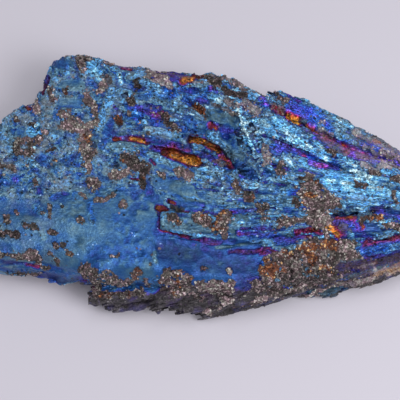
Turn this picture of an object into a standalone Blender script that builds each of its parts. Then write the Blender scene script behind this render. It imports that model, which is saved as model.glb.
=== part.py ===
"""Rainbow kyanite: a fan of flat kyanite laths grown together, coated with a film of titanium.

The cluster lies on its flat cleavage faces. X runs along the fan, from its broken wide end (-X) to its
root (+X), and +Z is up. Every length in the tables below is in millimetres; the model is in metres.
"""

import math
import random
from collections import namedtuple

import bmesh
import bpy
from mathutils import Matrix, Vector

MM = 0.001
SEED = 11
WELD = 0.002  # corners closer than this are one corner

# Driving sizes of the whole stone.
WIDE_END_X = -46.0
ROOT_END_X = 46.5
FACE_HEIGHT = 15.0  # the broad cleavage face above the surface it rests on
ROOT_HEIGHT = 11.5  # the same face at the root of the fan
BASE_HEIGHT = 1.7  # the core's underside, with the lowest laths below it
WIDE_END_UNDERCUT = 4.5  # how far the broken wide end stands clear of the surface
ROOT_UNDERCUT = 1.6
ROOT_CHIP = 1.6  # how far the laths of the broken root stand past the core
FAN_ROOT = Vector((61.0, -7.5))  # the point that the laths run towards, past the root

# How the shapes are made.
OVERSHOOT = 3.0  # how far a cutter reaches above the face
FLAT_ANGLE = math.radians(0.4)  # faces that turn less than this are one flat face
LUMP_POINTS = 18
GOLDEN_ANGLE = math.pi * (3.0 - math.sqrt(5.0))

# The plan outline, as (x, y) from the wide end to the root.
BACK_EDGE = (
    (WIDE_END_X, 4.0), (-43.2, 9.0), (-40.2, 13.0), (-37.8, 14.9), (-35.2, 15.0), (-34.1, 17.6), (-33.1, 21.4),
    (-32.7, 23.9), (-31.0, 25.3), (-27.6, 26.0), (-23.2, 25.6), (-20.6, 24.2), (-15.2, 23.4), (-11.6, 22.7),
    (-3.2, 21.7), (-0.8, 22.2), (3.2, 20.7), (5.6, 18.9), (8.9, 17.3), (10.2, 16.9), (11.4, 17.9),
    (13.0, 18.0), (20.2, 14.2), (27.8, 9.6), (35.3, 5.1), (41.4, 2.0), (44.6, -0.6), (ROOT_END_X, -3.6),
)
FRONT_EDGE = (
    (WIDE_END_X, -9.5), (-44.2, -15.0), (-42.0, -17.4), (-36.6, -16.8), (-32.8, -16.8), (-29.6, -17.8),
    (-24.6, -19.6), (-17.2, -20.4), (-9.6, -21.2), (0.6, -21.9), (7.4, -21.7), (16.1, -20.4),
    (22.4, -19.8), (27.8, -18.6), (35.8, -16.2), (41.4, -14.0), (45.0, -11.8), (ROOT_END_X, -9.0),
)

# A row of points across the top, as a share of the width from the front rim to the back rim, with its drop.
ACROSS = (
    (0.0, 2.2), (0.05, 0.5), (0.2, 0.0), (0.38, 0.2), (0.56, -0.1),
    (0.74, 0.1), (0.9, 0.4), (0.96, 1.0), (1.0, 3.0),
)

Lath = namedtuple("Lath", "name path width tip_share height depth roll")
Groove = namedtuple("Groove", "name path width depth")
Lump = namedtuple("Lump", "centre radii turn")

# Laths that stand out on the broad face. A path runs from the free tip towards the root, as (x, y);
# width and depth are across and down the lath, and height is its top at the tip and at the root.
FACE_LATHS = (
    Lath(
        "outer edge lath", ((10.9, 16.7), (18.2, 13.7), (25.8, 9.2), (35.1, 4.2), (45.0, -1.4)),
        3.0, 0.8, (13.6, 10.8), 6.0, -8,
    ),
    Lath(
        "second edge lath", ((13.2, 14.6), (20.1, 10.7), (27.7, 6.6), (36.0, 2.6)),
        2.8, 0.7, (13.4, 11.4), 5.0, 12,
    ),
    Lath(
        "bright lath", ((8.4, 13.4), (13.1, 8.6), (19.7, 4.8), (27.1, 1.0), (36.0, -2.8), (43.6, -6.0)),
        3.2, 0.5, (15.6, 11.8), 5.0, 10,
    ),
    Lath(
        "broad bright lath", ((7.9, 5.2), (13.0, 2.2), (21.4, -1.6), (30.7, -4.2), (41.7, -6.9)),
        4.4, 0.5, (15.9, 11.9), 5.0, 7,
    ),
    Lath(
        "flat bright lath", ((12.4, -0.6), (18.0, -3.2), (26.8, -5.4), (40.0, -7.6)),
        4.2, 0.6, (15.5, 12.0), 5.0, -4,
    ),
    Lath(
        "long plume", ((3.4, 15.4), (5.0, 9.6), (6.5, 4.4), (10.4, -0.1)),
        1.7, 0.6, (16.3, 15.9), 4.0, 16,
    ),
    Lath(
        "short plume", ((1.4, 14.0), (2.6, 9.6), (4.3, 4.4), (8.4, -1.9)),
        1.9, 0.6, (16.2, 15.8), 4.0, -14,
    ),
    Lath(
        "white plume", ((5.9, 13.6), (7.4, 9.4), (9.4, 5.6), (12.8, 2.4)),
        1.5, 0.6, (16.1, 15.6), 4.0, 12,
    ),
    Lath("small upper blade", ((-5.4, 5.6), (-3.2, 4.6), (0.2, 2.9)), 1.3, 0.5, (15.6, 15.4), 3.0, 8),
    Lath(
        "curved blade", ((-2.0, 8.6), (1.0, 6.1), (3.6, 2.9), (8.4, -2.1)),
        1.8, 0.6, (16.1, 15.6), 4.0, 10,
    ),
    Lath(
        "pointed blade", ((-13.2, 3.7), (-7.0, 1.6), (-0.4, -0.4), (7.1, -3.3)),
        2.2, 0.2, (15.9, 15.7), 4.0, 8,
    ),
    Lath("upper plate", ((-17.4, 9.2), (-8.9, 7.6), (-2.6, 6.2)), 2.8, 0.4, (15.9, 15.7), 4.0, -6),
    Lath("rear plate", ((-9.4, 15.6), (-2.6, 12.4), (3.2, 8.6)), 4.2, 0.5, (16.3, 16.1), 4.0, -5),
    Lath("rear rim plate", ((-17.6, 19.8), (-8.4, 18.4), (0.6, 17.2)), 3.8, 0.6, (16.2, 15.8), 5.0, -8),
    Lath(
        "square lath", ((-10.8, -9.7), (-0.4, -10.9), (9.8, -10.8), (20.9, -8.6)),
        4.5, 0.92, (16.2, 15.2), 4.0, 3,
    ),
    Lath(
        "thin lath", ((-0.6, -14.8), (8.2, -13.6), (17.2, -11.7), (28.0, -9.6)),
        1.4, 0.8, (15.6, 14.4), 3.0, 6,
    ),
    Lath("purple lath", ((2.4, -12.9), (8.3, -12.2), (15.0, -10.8)), 1.2, 0.5, (15.6, 15.0), 3.0, -8),
    Lath(
        "centre plate", ((-8.6, -2.8), (2.0, -5.4), (14.0, -6.6), (24.0, -7.2)),
        5.2, 0.5, (15.7, 14.6), 4.0, -3,
    ),
    Lath("cracked lath", ((22.6, -10.0), (34.3, -8.9), (45.4, -8.4)), 2.6, 0.5, (14.3, 11.8), 4.0, 6),
    Lath("blue lath", ((25.4, -15.4), (34.0, -13.9), (44.5, -11.5)), 3.0, 0.5, (13.8, 11.2), 5.0, -8),
    Lath(
        "lower ledge", ((-43.5, -15.4), (-36.4, -16.2), (-28.0, -17.8), (-18.0, -19.6)),
        3.0, 0.9, (11.2, 11.6), 5.0, -10,
    ),
)

# Dark laths that stick out along the front wall, below the face.
FRONT_LATHS = (
    Lath(
        "front blade one", ((-24.8, -21.6), (-17.2, -22.2), (-9.0, -20.6), (4.0, -17.6)),
        3.2, 0.55, (8.0, 9.6), 3.0, -14,
    ),
    Lath(
        "front blade two", ((-20.6, -23.4), (-15.0, -23.4), (-6.0, -20.4), (6.0, -17.0)),
        2.8, 0.6, (4.6, 6.4), 3.0, -10,
    ),
    Lath(
        "front blade three", ((-11.6, -23.4), (-5.4, -21.2), (3.0, -18.2), (12.0, -15.6)),
        3.0, 0.55, (9.6, 10.6), 3.4, -16,
    ),
    Lath(
        "front blade four", ((-7.2, -23.8), (-0.2, -21.6), (8.0, -18.6), (18.0, -15.8)),
        2.8, 0.55, (6.6, 8.2), 3.2, -12,
    ),
    Lath(
        "front blade five", ((-4.4, -24.4), (5.6, -22.4), (15.9, -19.4), (28.0, -15.8)),
        3.0, 0.6, (4.4, 6.0), 3.6, -8,
    ),
    Lath(
        "front blade six", ((1.0, -23.0), (12.0, -21.0), (22.0, -18.2), (34.0, -14.8)),
        2.6, 0.6, (8.6, 8.0), 3.4, -14,
    ),
    Lath(
        "front blade seven", ((15.6, -20.4), (22.9, -19.2), (32.0, -16.2), (44.0, -12.2)),
        3.0, 0.5, (4.0, 5.4), 3.4, -8,
    ),
    Lath("pale lower blade", ((24.6, -19.6), (34.9, -16.4), (45.2, -12.4)), 2.6, 0.6, (6.8, 6.0), 3.0, -18),
)

# The broad lath in the middle of the base: its underside is the flat face that the stone rests on.
RESTING_LATH = Lath(
    "resting lath", ((-13.0, -3.4), (2.0, -4.4), (20.0, -5.6)),
    7.0, 0.7, (4.6, 4.6), 5.0, 0,
)

# Narrow recesses between the laths, where the film is thin.
GROOVES = (
    Groove(
        "red edge groove",
        ((9.6, 15.2), (13.4, 12.2), (16.2, 10.3), (24.7, 5.9), (35.1, 2.2), (44.0, -2.4)),
        1.5, 1.9,
    ),
    Groove("purple groove", ((8.2, 7.6), (15.9, 4.1), (23.4, 0.9), (30.0, -1.4)), 1.3, 1.6),
    Groove("gold hollow", ((-12.4, 4.7), (-7.0, 3.3), (-2.0, 1.4)), 1.9, 2.2),
    Groove("curved gold hollow", ((-6.6, 7.1), (-0.9, 5.2), (2.1, 2.9), (5.2, -0.6)), 1.3, 2.0),
    Groove("upper gold slot", ((-21.0, 7.3), (-15.6, 6.4)), 1.0, 1.4),
    Groove("violet slot", ((-17.0, 14.0), (-9.2, 11.5)), 1.6, 1.2),
    Groove("orange hollow", ((-6.4, 14.7), (-1.4, 10.9)), 2.0, 1.5),
    Groove("rear recess", ((-13.4, 22.0), (-4.6, 20.0)), 1.8, 2.2),
    Groove("square lath upper groove", ((-11.8, -7.2), (-4.0, -8.0)), 0.9, 2.0),
    Groove("square lath lower groove", ((-11.4, -12.1), (-4.0, -13.5), (3.0, -13.8)), 0.8, 1.4),
    Groove("dark crack", ((20.6, -8.3), (28.7, -7.3), (36.8, -5.8)), 0.9, 2.4),
    Groove("red groove", ((5.2, -13.6), (13.5, -12.4), (19.4, -11.0)), 0.8, 1.5),
    Groove("deep red groove", ((25.6, -13.5), (31.3, -12.5), (40.0, -10.8)), 0.9, 1.8),
    Groove("wide end crack", ((-46.0, -11.4), (-41.0, -11.9), (-36.4, -12.8)), 1.0, 1.6),
)

# Flat-floored steps down from the face: a broad one in front of the square lath, and two smaller ones.
TERRACES = (
    Groove("blue terrace", ((-11.2, -16.4), (-1.0, -17.0), (14.0, -17.2)), 5.6, 0.7),
    Groove("rear terrace", ((-17.6, 10.9), (-9.8, 9.6), (-3.4, 8.9)), 1.8, 0.8),
    Groove("wide end terrace", ((-46.0, -6.0), (-40.0, -6.8), (-33.0, -7.2)), 3.4, 0.5),
)

# Blocky masses of fine crystals: the rear corner of the wide end, and the gritty patches on the face.
LUMPS = (
    Lump((-29.7, 21.9, 12.4), (2.4, 2.6, 4.0), 8),
    Lump((-25.4, 21.4, 12.4), (3.4, 3.6, 4.0), -24),
    Lump((-21.6, 19.0, 12.4), (3.2, 4.0, 3.9), 18),
    Lump((-27.2, 16.6, 12.4), (3.6, 3.0, 3.7), 30),
    Lump((-31.4, 13.8, 11.6), (2.6, 5.4, 4.2), -8),
    Lump((-39.0, 9.6, 11.6), (3.6, 3.4, 3.9), 30),
    Lump((-17.0, 14.6, 12.8), (4.6, 3.0, 3.0), -12),
    Lump((-26.4, 8.2, 12.6), (2.6, 3.6, 3.1), 20),
    Lump((5.0, 15.6, 12.2), (3.6, 2.4, 4.0), -30),
    Lump((0.2, 18.4, 12.0), (2.6, 2.4, 3.8), 15),
    Lump((20.0, -4.9, 12.0), (3.6, 4.2, 2.6), 10),
    Lump((21.0, -15.6, 10.8), (5.2, 3.0, 3.2), 16),
    Lump((12.4, -17.4, 11.6), (4.8, 3.2, 3.5), -14),
    Lump((-6.2, -19.0, 12.6), (2.8, 2.2, 2.8), 0),
    Lump((-21.4, -18.2, 12.4), (3.2, 2.0, 2.9), 10),
    Lump((3.4, -20.6, 11.4), (3.2, 1.8, 2.8), 12),
)

# Pits, as (x, y, across, depth): mostly over the rougher left half.
PITS = (
    (-34.9, 8.6, 2.0, 1.6), (-24.4, 5.2, 2.4, 1.3), (-17.6, 15.6, 1.8, 1.7), (-39.2, 2.4, 2.2, 1.2),
    (-31.6, 1.0, 1.5, 0.9), (-26.0, -13.8, 2.2, 1.2), (-19.2, 1.9, 2.6, 1.5), (-44.0, -10.3, 2.6, 1.3),
    (-14.8, 8.9, 1.5, 1.2), (1.8, 7.0, 1.4, 1.4), (-36.0, 17.0, 2.0, 1.4), (-14.0, -15.9, 1.5, 1.2),
    (11.6, -5.6, 2.0, 0.9), (-22.0, 20.6, 1.6, 1.4), (6.7, 12.2, 1.4, 1.3), (-28.6, -4.4, 1.6, 0.8),
)


def clear_scene():
    """Removes whatever the file opened with."""
    for obj in list(bpy.data.objects):
        bpy.data.objects.remove(obj, do_unlink=True)


def new_collection(name):
    collection = bpy.data.collections.new(name)
    bpy.context.scene.collection.children.link(collection)
    return collection


def mesh_object(name, bm, collection):
    """Turns a bmesh in millimetres into an object in metres."""
    bmesh.ops.triangulate(bm, faces=bm.faces[:])
    bmesh.ops.recalc_face_normals(bm, faces=bm.faces[:])
    bmesh.ops.scale(bm, vec=(MM, MM, MM), verts=bm.verts)
    mesh = bpy.data.meshes.new(name)
    bm.to_mesh(mesh)
    bm.free()
    obj = bpy.data.objects.new(name, mesh)
    collection.objects.link(obj)
    return obj


def loft(name, rings, collection):
    """Joins a row of rings, each with the same number of corners, and caps the two ends."""
    bm = bmesh.new()
    rows = [[bm.verts.new(corner) for corner in ring] for ring in rings]
    count = len(rows[0])
    for near, far in zip(rows, rows[1:]):
        for i in range(count):
            j = (i + 1) % count
            bm.faces.new((near[i], near[j], far[j], far[i]))
    bm.faces.new(rows[0])
    bm.faces.new(rows[-1])
    return mesh_object(name, bm, collection)


def edge_y(edge, x):
    """The outline's y at x, on straight runs between its points."""
    for (x0, y0), (x1, y1) in zip(edge, edge[1:]):
        if x0 <= x <= x1:
            return y0 + (y1 - y0) * (x - x0) / (x1 - x0)
    raise ValueError(f"x = {x} is past the ends of the stone")


def face_height(x, y):
    """The broad face: level over the wide end, falling towards the root, with a rise at the rear corner."""
    fall = (FACE_HEIGHT - ROOT_HEIGHT) * max(0.0, (x - 2.0) / (ROOT_END_X - 2.0)) ** 1.3
    rise = 1.2 * math.exp(-(((x + 27.0) / 11.0) ** 2) - ((y - 17.0) / 8.0) ** 2)
    return FACE_HEIGHT - fall + rise


def core_ring(x, rng):
    """One cross-section of the body at x, from the front foot round under the base and over the top."""
    front, back = edge_y(FRONT_EDGE, x), edge_y(BACK_EDGE, x)
    width = back - front
    wide_end = max(0.0, min(1.0, (-22.0 - x) / 20.0))
    root_end = max(0.0, min(1.0, (x - 34.0) / 12.0))
    foot = BASE_HEIGHT + WIDE_END_UNDERCUT * wide_end**1.5 + ROOT_UNDERCUT * root_end
    foot += rng.uniform(-0.25, 0.25)
    ring = [
        Vector((x, front + 0.35 * width, foot)),
        Vector((x, front + 1.8 + 2.2 * wide_end, foot + 0.5)),
        Vector((x, front + 0.4 * (1 - wide_end), foot + 3.2)),
    ]
    for i, (share, drop) in enumerate(ACROSS):
        y = front + share * width
        crease = 0.22 * math.sin(2.4 * i + 0.11 * x) + 0.12 * math.sin(4.1 * i - 0.23 * x)
        ring.append(Vector((x, y, face_height(x, y) - drop + crease)))
    ring.append(Vector((x, back - 0.6, foot + 4.6)))
    ring.append(Vector((x, back - 3.4, foot + 0.9)))
    ring.append(Vector((x, back - 0.32 * width, foot)))
    return ring


def build_core(collection, rng):
    """The body that every lath grows out of, lofted through a section at each corner of the outline."""
    stations = sorted({x for x, _ in BACK_EDGE} | {x for x, _ in FRONT_EDGE})
    kept = [stations[0]]
    for x in stations[1:]:
        if x - kept[-1] > 0.7:
            kept.append(x)
    kept[-1] = ROOT_END_X - ROOT_CHIP
    rings = [core_ring(x, rng) for x in kept]
    for ring, sign in ((rings[0], -1), (rings[-1], 1)):
        for corner in ring:
            corner.x += sign * rng.uniform(0.0, 0.5) - sign * 0.5
    return loft("kyanite_cluster", rings, collection)


def lath_ring(at, along, width, depth, roll):
    """A lath's section: a flat top turned by roll, chamfered long edges and straight buried sides."""
    across = Vector((-along.y, along.x, 0.0))
    half, chamfer = width / 2, min(0.28 * width, 0.9)
    lean = math.tan(math.radians(roll))
    outline = (
        (-half, -depth),
        (-half, -1.1 * chamfer),
        (-half + chamfer, 0.0),
        (half - 0.8 * chamfer, 0.0),
        (half, -0.9 * chamfer),
        (half, -depth),
    )
    return [at + across * side + Vector((0, 0, up + lean * side)) for side, up in outline]


def add_lath(lath, collection):
    """Lofts one lath along its path, narrow at a chipped tip and narrowing again towards the root."""
    points = [Vector((x, y, 0.0)) for x, y in lath.path]
    lengths = [0.0]
    for a, b in zip(points, points[1:]):
        lengths.append(lengths[-1] + (b - a).length)
    tip_run = min(0.9 * lath.width, 0.3 * (points[1] - points[0]).length)
    rings = []
    for i, point in enumerate(points):
        share = lengths[i] / lengths[-1]
        along = (points[min(i + 1, len(points) - 1)] - points[max(i - 1, 0)]).normalized()
        height = lath.height[0] + (lath.height[1] - lath.height[0]) * share
        width = lath.width * (1.0 - 0.35 * share)
        at = point + Vector((0, 0, height))
        if i == 0:
            tip = at - Vector((0, 0, 0.35))
            rings.append(lath_ring(tip, along, width * lath.tip_share, lath.depth - 0.6, lath.roll))
            at = at + along * tip_run
        rings.append(lath_ring(at, along, width, lath.depth, lath.roll))
    return loft(lath.name, rings, collection)


def add_groove(groove, collection):
    """A cutter with a slanted V section, which pinches out at both ends."""
    points = [Vector((x, y, 0.0)) for x, y in groove.path]
    rings = []
    for i, point in enumerate(points):
        end = i in (0, len(points) - 1)
        along = (points[min(i + 1, len(points) - 1)] - points[max(i - 1, 0)]).normalized()
        across = Vector((-along.y, along.x, 0.0))
        half = groove.width * (0.3 if end else 0.5)
        top = face_height(point.x, point.y)
        floor = top - groove.depth * (0.4 if end else 1.0)
        rings.append([
            point + across * (-1.6 * half) + Vector((0, 0, top + OVERSHOOT)),
            point + across * (-0.9 * half) + Vector((0, 0, floor + 0.7)),
            point + across * (0.1 * half) + Vector((0, 0, floor)),
            point + across * (0.9 * half) + Vector((0, 0, floor + 0.1)),
            point + across * (1.1 * half) + Vector((0, 0, top + OVERSHOOT)),
        ])
    return loft(groove.name, rings, collection)


def add_terrace(terrace, collection):
    """A cutter with an even floor and leaning sides, as wide at its ends as in its middle."""
    points = [Vector((x, y, 0.0)) for x, y in terrace.path]
    along = (points[-1] - points[0]).normalized()
    across = Vector((-along.y, along.x, 0.0)) * terrace.width / 2
    rings = []
    for point in points:
        top = face_height(point.x, point.y)
        low, high = Vector((0, 0, top - terrace.depth)), Vector((0, 0, top + OVERSHOOT))
        rings.append([
            point - across * 1.3 + high,
            point - across + low,
            point + across + low,
            point + across * 1.3 + high,
        ])
    return loft(terrace.name, rings, collection)


def add_lump(lump, collection, rng):
    """A blocky mass with flat faces: the convex hull of points spread over a box with cut corners."""
    bm = bmesh.new()
    turn = Matrix.Rotation(math.radians(lump.turn), 3, "Z")
    for i in range(LUMP_POINTS):
        up = 1.0 - 2.0 * (i + 0.5) / LUMP_POINTS
        around = i * GOLDEN_ANGLE
        flat = math.sqrt(1.0 - up * up)
        point = Vector((flat * math.cos(around), flat * math.sin(around), up))
        point *= rng.uniform(0.9, 1.04) / max(abs(c) for c in point) ** 0.75
        scaled = Vector([c * radius for c, radius in zip(point, lump.radii)])
        bm.verts.new(Vector(lump.centre) + turn @ scaled)
    hull = bmesh.ops.convex_hull(bm, input=bm.verts[:])
    inside = [part for part in hull["geom_interior"] if isinstance(part, bmesh.types.BMVert)]
    bmesh.ops.delete(bm, geom=inside, context="VERTS")
    return mesh_object("crystal mass", bm, collection)


def add_pit(x, y, across, depth, collection, rng):
    """A cutter for one pit: an uneven six-sided cone, point down."""
    bm = bmesh.new()
    height = depth + OVERSHOOT
    mouth = 0.5 * across * height / depth
    bmesh.ops.create_cone(bm, cap_ends=True, segments=6, radius1=0.18 * across, radius2=mouth, depth=height)
    middle = Vector((x, y, face_height(x, y) - depth + height / 2))
    for vert in bm.verts:
        vert.co.x *= rng.uniform(0.75, 1.3)
        vert.co.y *= rng.uniform(0.7, 1.1)
        vert.co += middle
    return mesh_object("pit", bm, collection)


def fan_lath(name, x_tip, y_tip, length, width, height, depth, roll):
    """A lath whose tip is at (x_tip, y_tip) and which runs towards the root of the fan."""
    tip = Vector((x_tip, y_tip))
    towards = (FAN_ROOT - tip).normalized()
    middle, root = tip + towards * length * 0.5, tip + towards * length
    return Lath(name, (tuple(tip), tuple(middle), tuple(root)), width, 0.6, height, depth, roll)


def face_fillers(rng):
    """Low narrow laths that break up the face, close together near the root and sparse on the wide end."""
    laths = []
    for i in range(26):
        x = rng.uniform(2.0, 34.0) if i % 3 else rng.uniform(-40.0, 0.0)
        back, front = edge_y(BACK_EDGE, x), edge_y(FRONT_EDGE, x)
        y = rng.uniform(front + 2.5, back - 3.0)
        length = min(rng.uniform(8.0, 22.0), 44.0 - x)
        reach = (FAN_ROOT - Vector((x, y))).normalized() * length
        proud = rng.uniform(0.15, 0.55) if x > 0 else rng.uniform(0.08, 0.25)
        height = (face_height(x, y) + proud, face_height(x + reach.x, y + reach.y) + proud * 0.6)
        width = rng.uniform(0.8, 2.0) if x > 0 else rng.uniform(1.2, 3.0)
        laths.append(fan_lath("face filler", x, y, length, width, height, 3.0, rng.uniform(-9, 9)))
    return laths


def base_laths(rng):
    """Laths under the stone: every second one reaches the surface that it lies on, the rest stop above it."""
    laths = [RESTING_LATH]
    for i in range(13):
        x = -21.0 + 4.0 * i + rng.uniform(-1.5, 1.5)
        share = (0.24, 0.66, 0.4, 0.78, 0.54)[i % 5] + rng.uniform(-0.05, 0.05)
        back, front = edge_y(BACK_EDGE, x), edge_y(FRONT_EDGE, x)
        y = front + share * (back - front)
        length = min(rng.uniform(15.0, 28.0), 43.0 - x)
        top = rng.uniform(4.4, 5.2)
        depth = top + 0.4 if i % 2 == 0 else top - rng.uniform(0.5, 1.1)
        width = rng.uniform(3.4, 6.0)
        laths.append(fan_lath("base lath", x, y, length, width, (top, top), depth, rng.uniform(-4, 4)))
    return laths


def end_laths(rng):
    """Broken lath ends that stick out of the wide end, the rear wall and the root, at every height."""
    laths = []
    for i in range(14):
        level, place = divmod(i, 5)
        y = -12.0 + 4.9 * place + 1.7 * level + rng.uniform(-1.0, 1.0)
        x = -46.2 + 0.07 * max(0.0, abs(y + 3.0) - 6.0) ** 1.7 + rng.uniform(0.0, 2.2)
        height = 8.2 + 2.9 * level + rng.uniform(-0.8, 0.8)
        width = rng.uniform(2.2, 6.5)
        depth, roll = rng.uniform(1.8, 3.4), rng.uniform(-12, 12)
        laths.append(fan_lath("wide end lath", x, y, 15.0, width, (height, height + 0.5), depth, roll))
    for i in range(10):
        x = -30.0 + 6.4 * i + rng.uniform(-1.5, 1.5)
        y = edge_y(BACK_EDGE, x) - rng.uniform(1.0, 1.9)
        height = (4.6, 8.4)[i % 2] + rng.uniform(-0.5, 0.8)
        width, roll = rng.uniform(2.6, 3.6), rng.uniform(4, 16)
        laths.append(fan_lath("rear lath", x, y, 17.0, width, (height, height - 0.6), 3.2, roll))
    for i in range(8):
        x = 33.0 + rng.uniform(-2.0, 1.0)
        y = -11.5 + 10.5 * (i % 4) / 3 + rng.uniform(-0.4, 0.4)
        height = (10.6, 6.6)[i // 4] + rng.uniform(-0.5, 0.5)
        length = ROOT_END_X + (0.4, -0.3, 0.1, -0.1)[i % 4] - x
        laths.append(fan_lath("root lath", x, y, length, 3.8, (height, height), 3.0, rng.uniform(-8, 8)))
    return laths


def floor_cutter(collection):
    """A slab below z = 0, which cuts the lowest laths off level."""
    bm = bmesh.new()
    bmesh.ops.create_cube(bm, size=1.0)
    bmesh.ops.scale(bm, vec=(140.0, 90.0, 20.0), verts=bm.verts)
    bmesh.ops.translate(bm, vec=(0.0, 0.0, -10.0), verts=bm.verts)
    return mesh_object("surface it rests on", bm, collection)


def hide_helpers(collection):
    for obj in collection.objects:
        obj.hide_render = True
        obj.display_type = "WIRE"


def add_boolean(obj, name, operation, collection):
    modifier = obj.modifiers.new(name, "BOOLEAN")
    modifier.operation = operation
    modifier.operand_type = "COLLECTION"
    modifier.collection = collection
    modifier.solver = "EXACT"


def outer_skin(mesh):
    """Keeps the largest closed surface, so that no bubble is left where laths enclose a gap."""
    bm = bmesh.new()
    bm.from_mesh(mesh)
    unseen = set(bm.faces)
    skins = []
    while unseen:
        skin, queue = [], [unseen.pop()]
        while queue:
            face = queue.pop()
            skin.append(face)
            for edge in face.edges:
                for other in edge.link_faces:
                    if other in unseen:
                        unseen.discard(other)
                        queue.append(other)
        skins.append(skin)
    skins.sort(key=len)
    for skin in skins[:-1]:
        bmesh.ops.delete(bm, geom=skin, context="FACES")
    bmesh.ops.remove_doubles(bm, verts=bm.verts, dist=WELD * MM)
    bmesh.ops.dissolve_limit(bm, angle_limit=FLAT_ANGLE, verts=bm.verts, edges=bm.edges)
    bmesh.ops.triangulate(bm, faces=bm.faces[:])
    bm.to_mesh(mesh)
    bm.free()


def centre_over_origin(mesh):
    """Puts the origin at the middle of the stone's footprint."""
    for axis in (0, 1):
        values = [vert.co[axis] for vert in mesh.vertices]
        shift = (min(values) + max(values)) / 2
        for vert in mesh.vertices:
            vert.co[axis] -= shift


def film_material():
    """The titanium film's main colour, a steel blue with a metal's gloss."""
    material = bpy.data.materials.new("titanium film")
    material.use_nodes = True
    shader = material.node_tree.nodes["Principled BSDF"]
    shader.inputs["Base Color"].default_value = (0.05, 0.19, 0.42, 1.0)
    shader.inputs["Metallic"].default_value = 0.6
    shader.inputs["Roughness"].default_value = 0.42
    material.diffuse_color = (0.05, 0.19, 0.42, 1.0)
    return material


def main():
    clear_scene()
    rng = random.Random(SEED)
    stone_parts = new_collection("rainbow kyanite")
    joined = new_collection("laths joined to the core")
    cut = new_collection("recesses cut from the stone")

    core = build_core(stone_parts, rng)
    for lath in FACE_LATHS + FRONT_LATHS:
        add_lath(lath, joined)
    for lath in face_fillers(rng) + base_laths(rng) + end_laths(rng):
        add_lath(lath, joined)
    for lump in LUMPS:
        add_lump(lump, joined, rng)
    for groove in GROOVES:
        add_groove(groove, cut)
    for terrace in TERRACES:
        add_terrace(terrace, cut)
    for pit in PITS:
        add_pit(*pit, cut, rng)
    floor_cutter(cut)
    hide_helpers(joined)
    hide_helpers(cut)

    add_boolean(core, "grow laths", "UNION", joined)
    add_boolean(core, "cut recesses", "DIFFERENCE", cut)
    bpy.context.view_layer.update()
    graph = bpy.context.evaluated_depsgraph_get()
    stone = bpy.data.meshes.new_from_object(core.evaluated_get(graph))
    core.modifiers.clear()
    outer_skin(stone)
    centre_over_origin(stone)
    stone.materials.clear()
    stone.materials.append(film_material())
    core.data = stone


main()
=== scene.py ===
"""Rainbow kyanite: the finish of a fan of flat kyanite laths coated with a thin film of titanium.

The film's thickness sets its colour: gold and red where little of it reached, through purple and deep blue,
to steel blue and pale cyan on the open faces. Gritty patches of the rock that the crystals grew in stay
brown and grey, and so does the broken front. Lengths in the tables are in millimetres, and the objects are
in metres.
"""

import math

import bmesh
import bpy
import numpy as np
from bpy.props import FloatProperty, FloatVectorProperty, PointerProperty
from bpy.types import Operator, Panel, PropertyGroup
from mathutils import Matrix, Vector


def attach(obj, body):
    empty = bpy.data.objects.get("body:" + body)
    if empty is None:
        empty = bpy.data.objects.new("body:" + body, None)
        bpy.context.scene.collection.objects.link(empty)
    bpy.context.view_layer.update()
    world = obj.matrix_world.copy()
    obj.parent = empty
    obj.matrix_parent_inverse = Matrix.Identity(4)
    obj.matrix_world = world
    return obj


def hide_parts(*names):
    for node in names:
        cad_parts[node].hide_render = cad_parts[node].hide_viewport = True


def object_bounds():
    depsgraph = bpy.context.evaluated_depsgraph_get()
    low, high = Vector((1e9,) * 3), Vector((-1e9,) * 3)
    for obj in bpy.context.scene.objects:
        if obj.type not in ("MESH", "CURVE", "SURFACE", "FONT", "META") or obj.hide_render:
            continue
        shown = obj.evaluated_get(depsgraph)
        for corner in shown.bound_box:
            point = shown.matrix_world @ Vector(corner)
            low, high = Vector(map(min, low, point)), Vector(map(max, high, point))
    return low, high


bl_info = {
    "name": "Rainbow kyanite",
    "version": (1, 0, 0),
    "blender": (4, 5, 0),
    "location": "3D View > Sidebar > Kyanite",
    "description": "Dresses a fan of kyanite laths with an iridescent film, grit and fine blades",
    "category": "Mesh",
}

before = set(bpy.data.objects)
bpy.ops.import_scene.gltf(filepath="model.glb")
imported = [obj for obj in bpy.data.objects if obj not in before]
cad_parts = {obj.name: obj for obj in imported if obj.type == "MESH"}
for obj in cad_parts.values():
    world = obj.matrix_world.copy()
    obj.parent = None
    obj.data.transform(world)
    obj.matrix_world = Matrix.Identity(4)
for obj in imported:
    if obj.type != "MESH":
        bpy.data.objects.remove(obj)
CAD_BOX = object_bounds()

MM = 0.001
NODE = "kyanite_cluster"
BODY = "root"

# The fan: every lath runs towards one point past the root.
FAN_ROOT = np.array((60.6, -7.8))
FAN_RADIUS = 60.0  # where one unit of the across coordinate is one millimetre

# The camera looks down on the broad face from the front.
VIEW_AIM = np.array((-3.6, -5.0, 12.0))
VIEW_TILT = math.radians(70.0)
VIEW_DISTANCE = 211.0
VIEW_BACK = np.array((0.0, -math.cos(VIEW_TILT), math.sin(VIEW_TILT)))
VIEW_UP = np.array((0.0, math.sin(VIEW_TILT), math.cos(VIEW_TILT)))
LENS = 100.0
SENSOR = 36.0
OUT_OF_FRAME = (38.3, 39.5)  # left and right of this the camera no longer sees the stone
KEY_LAMP = ((215.0, -150.0, 320.0), 190.0)  # place and width
TOP_LAMP = ((20.0, -30.0, 480.0), 340.0)

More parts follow.
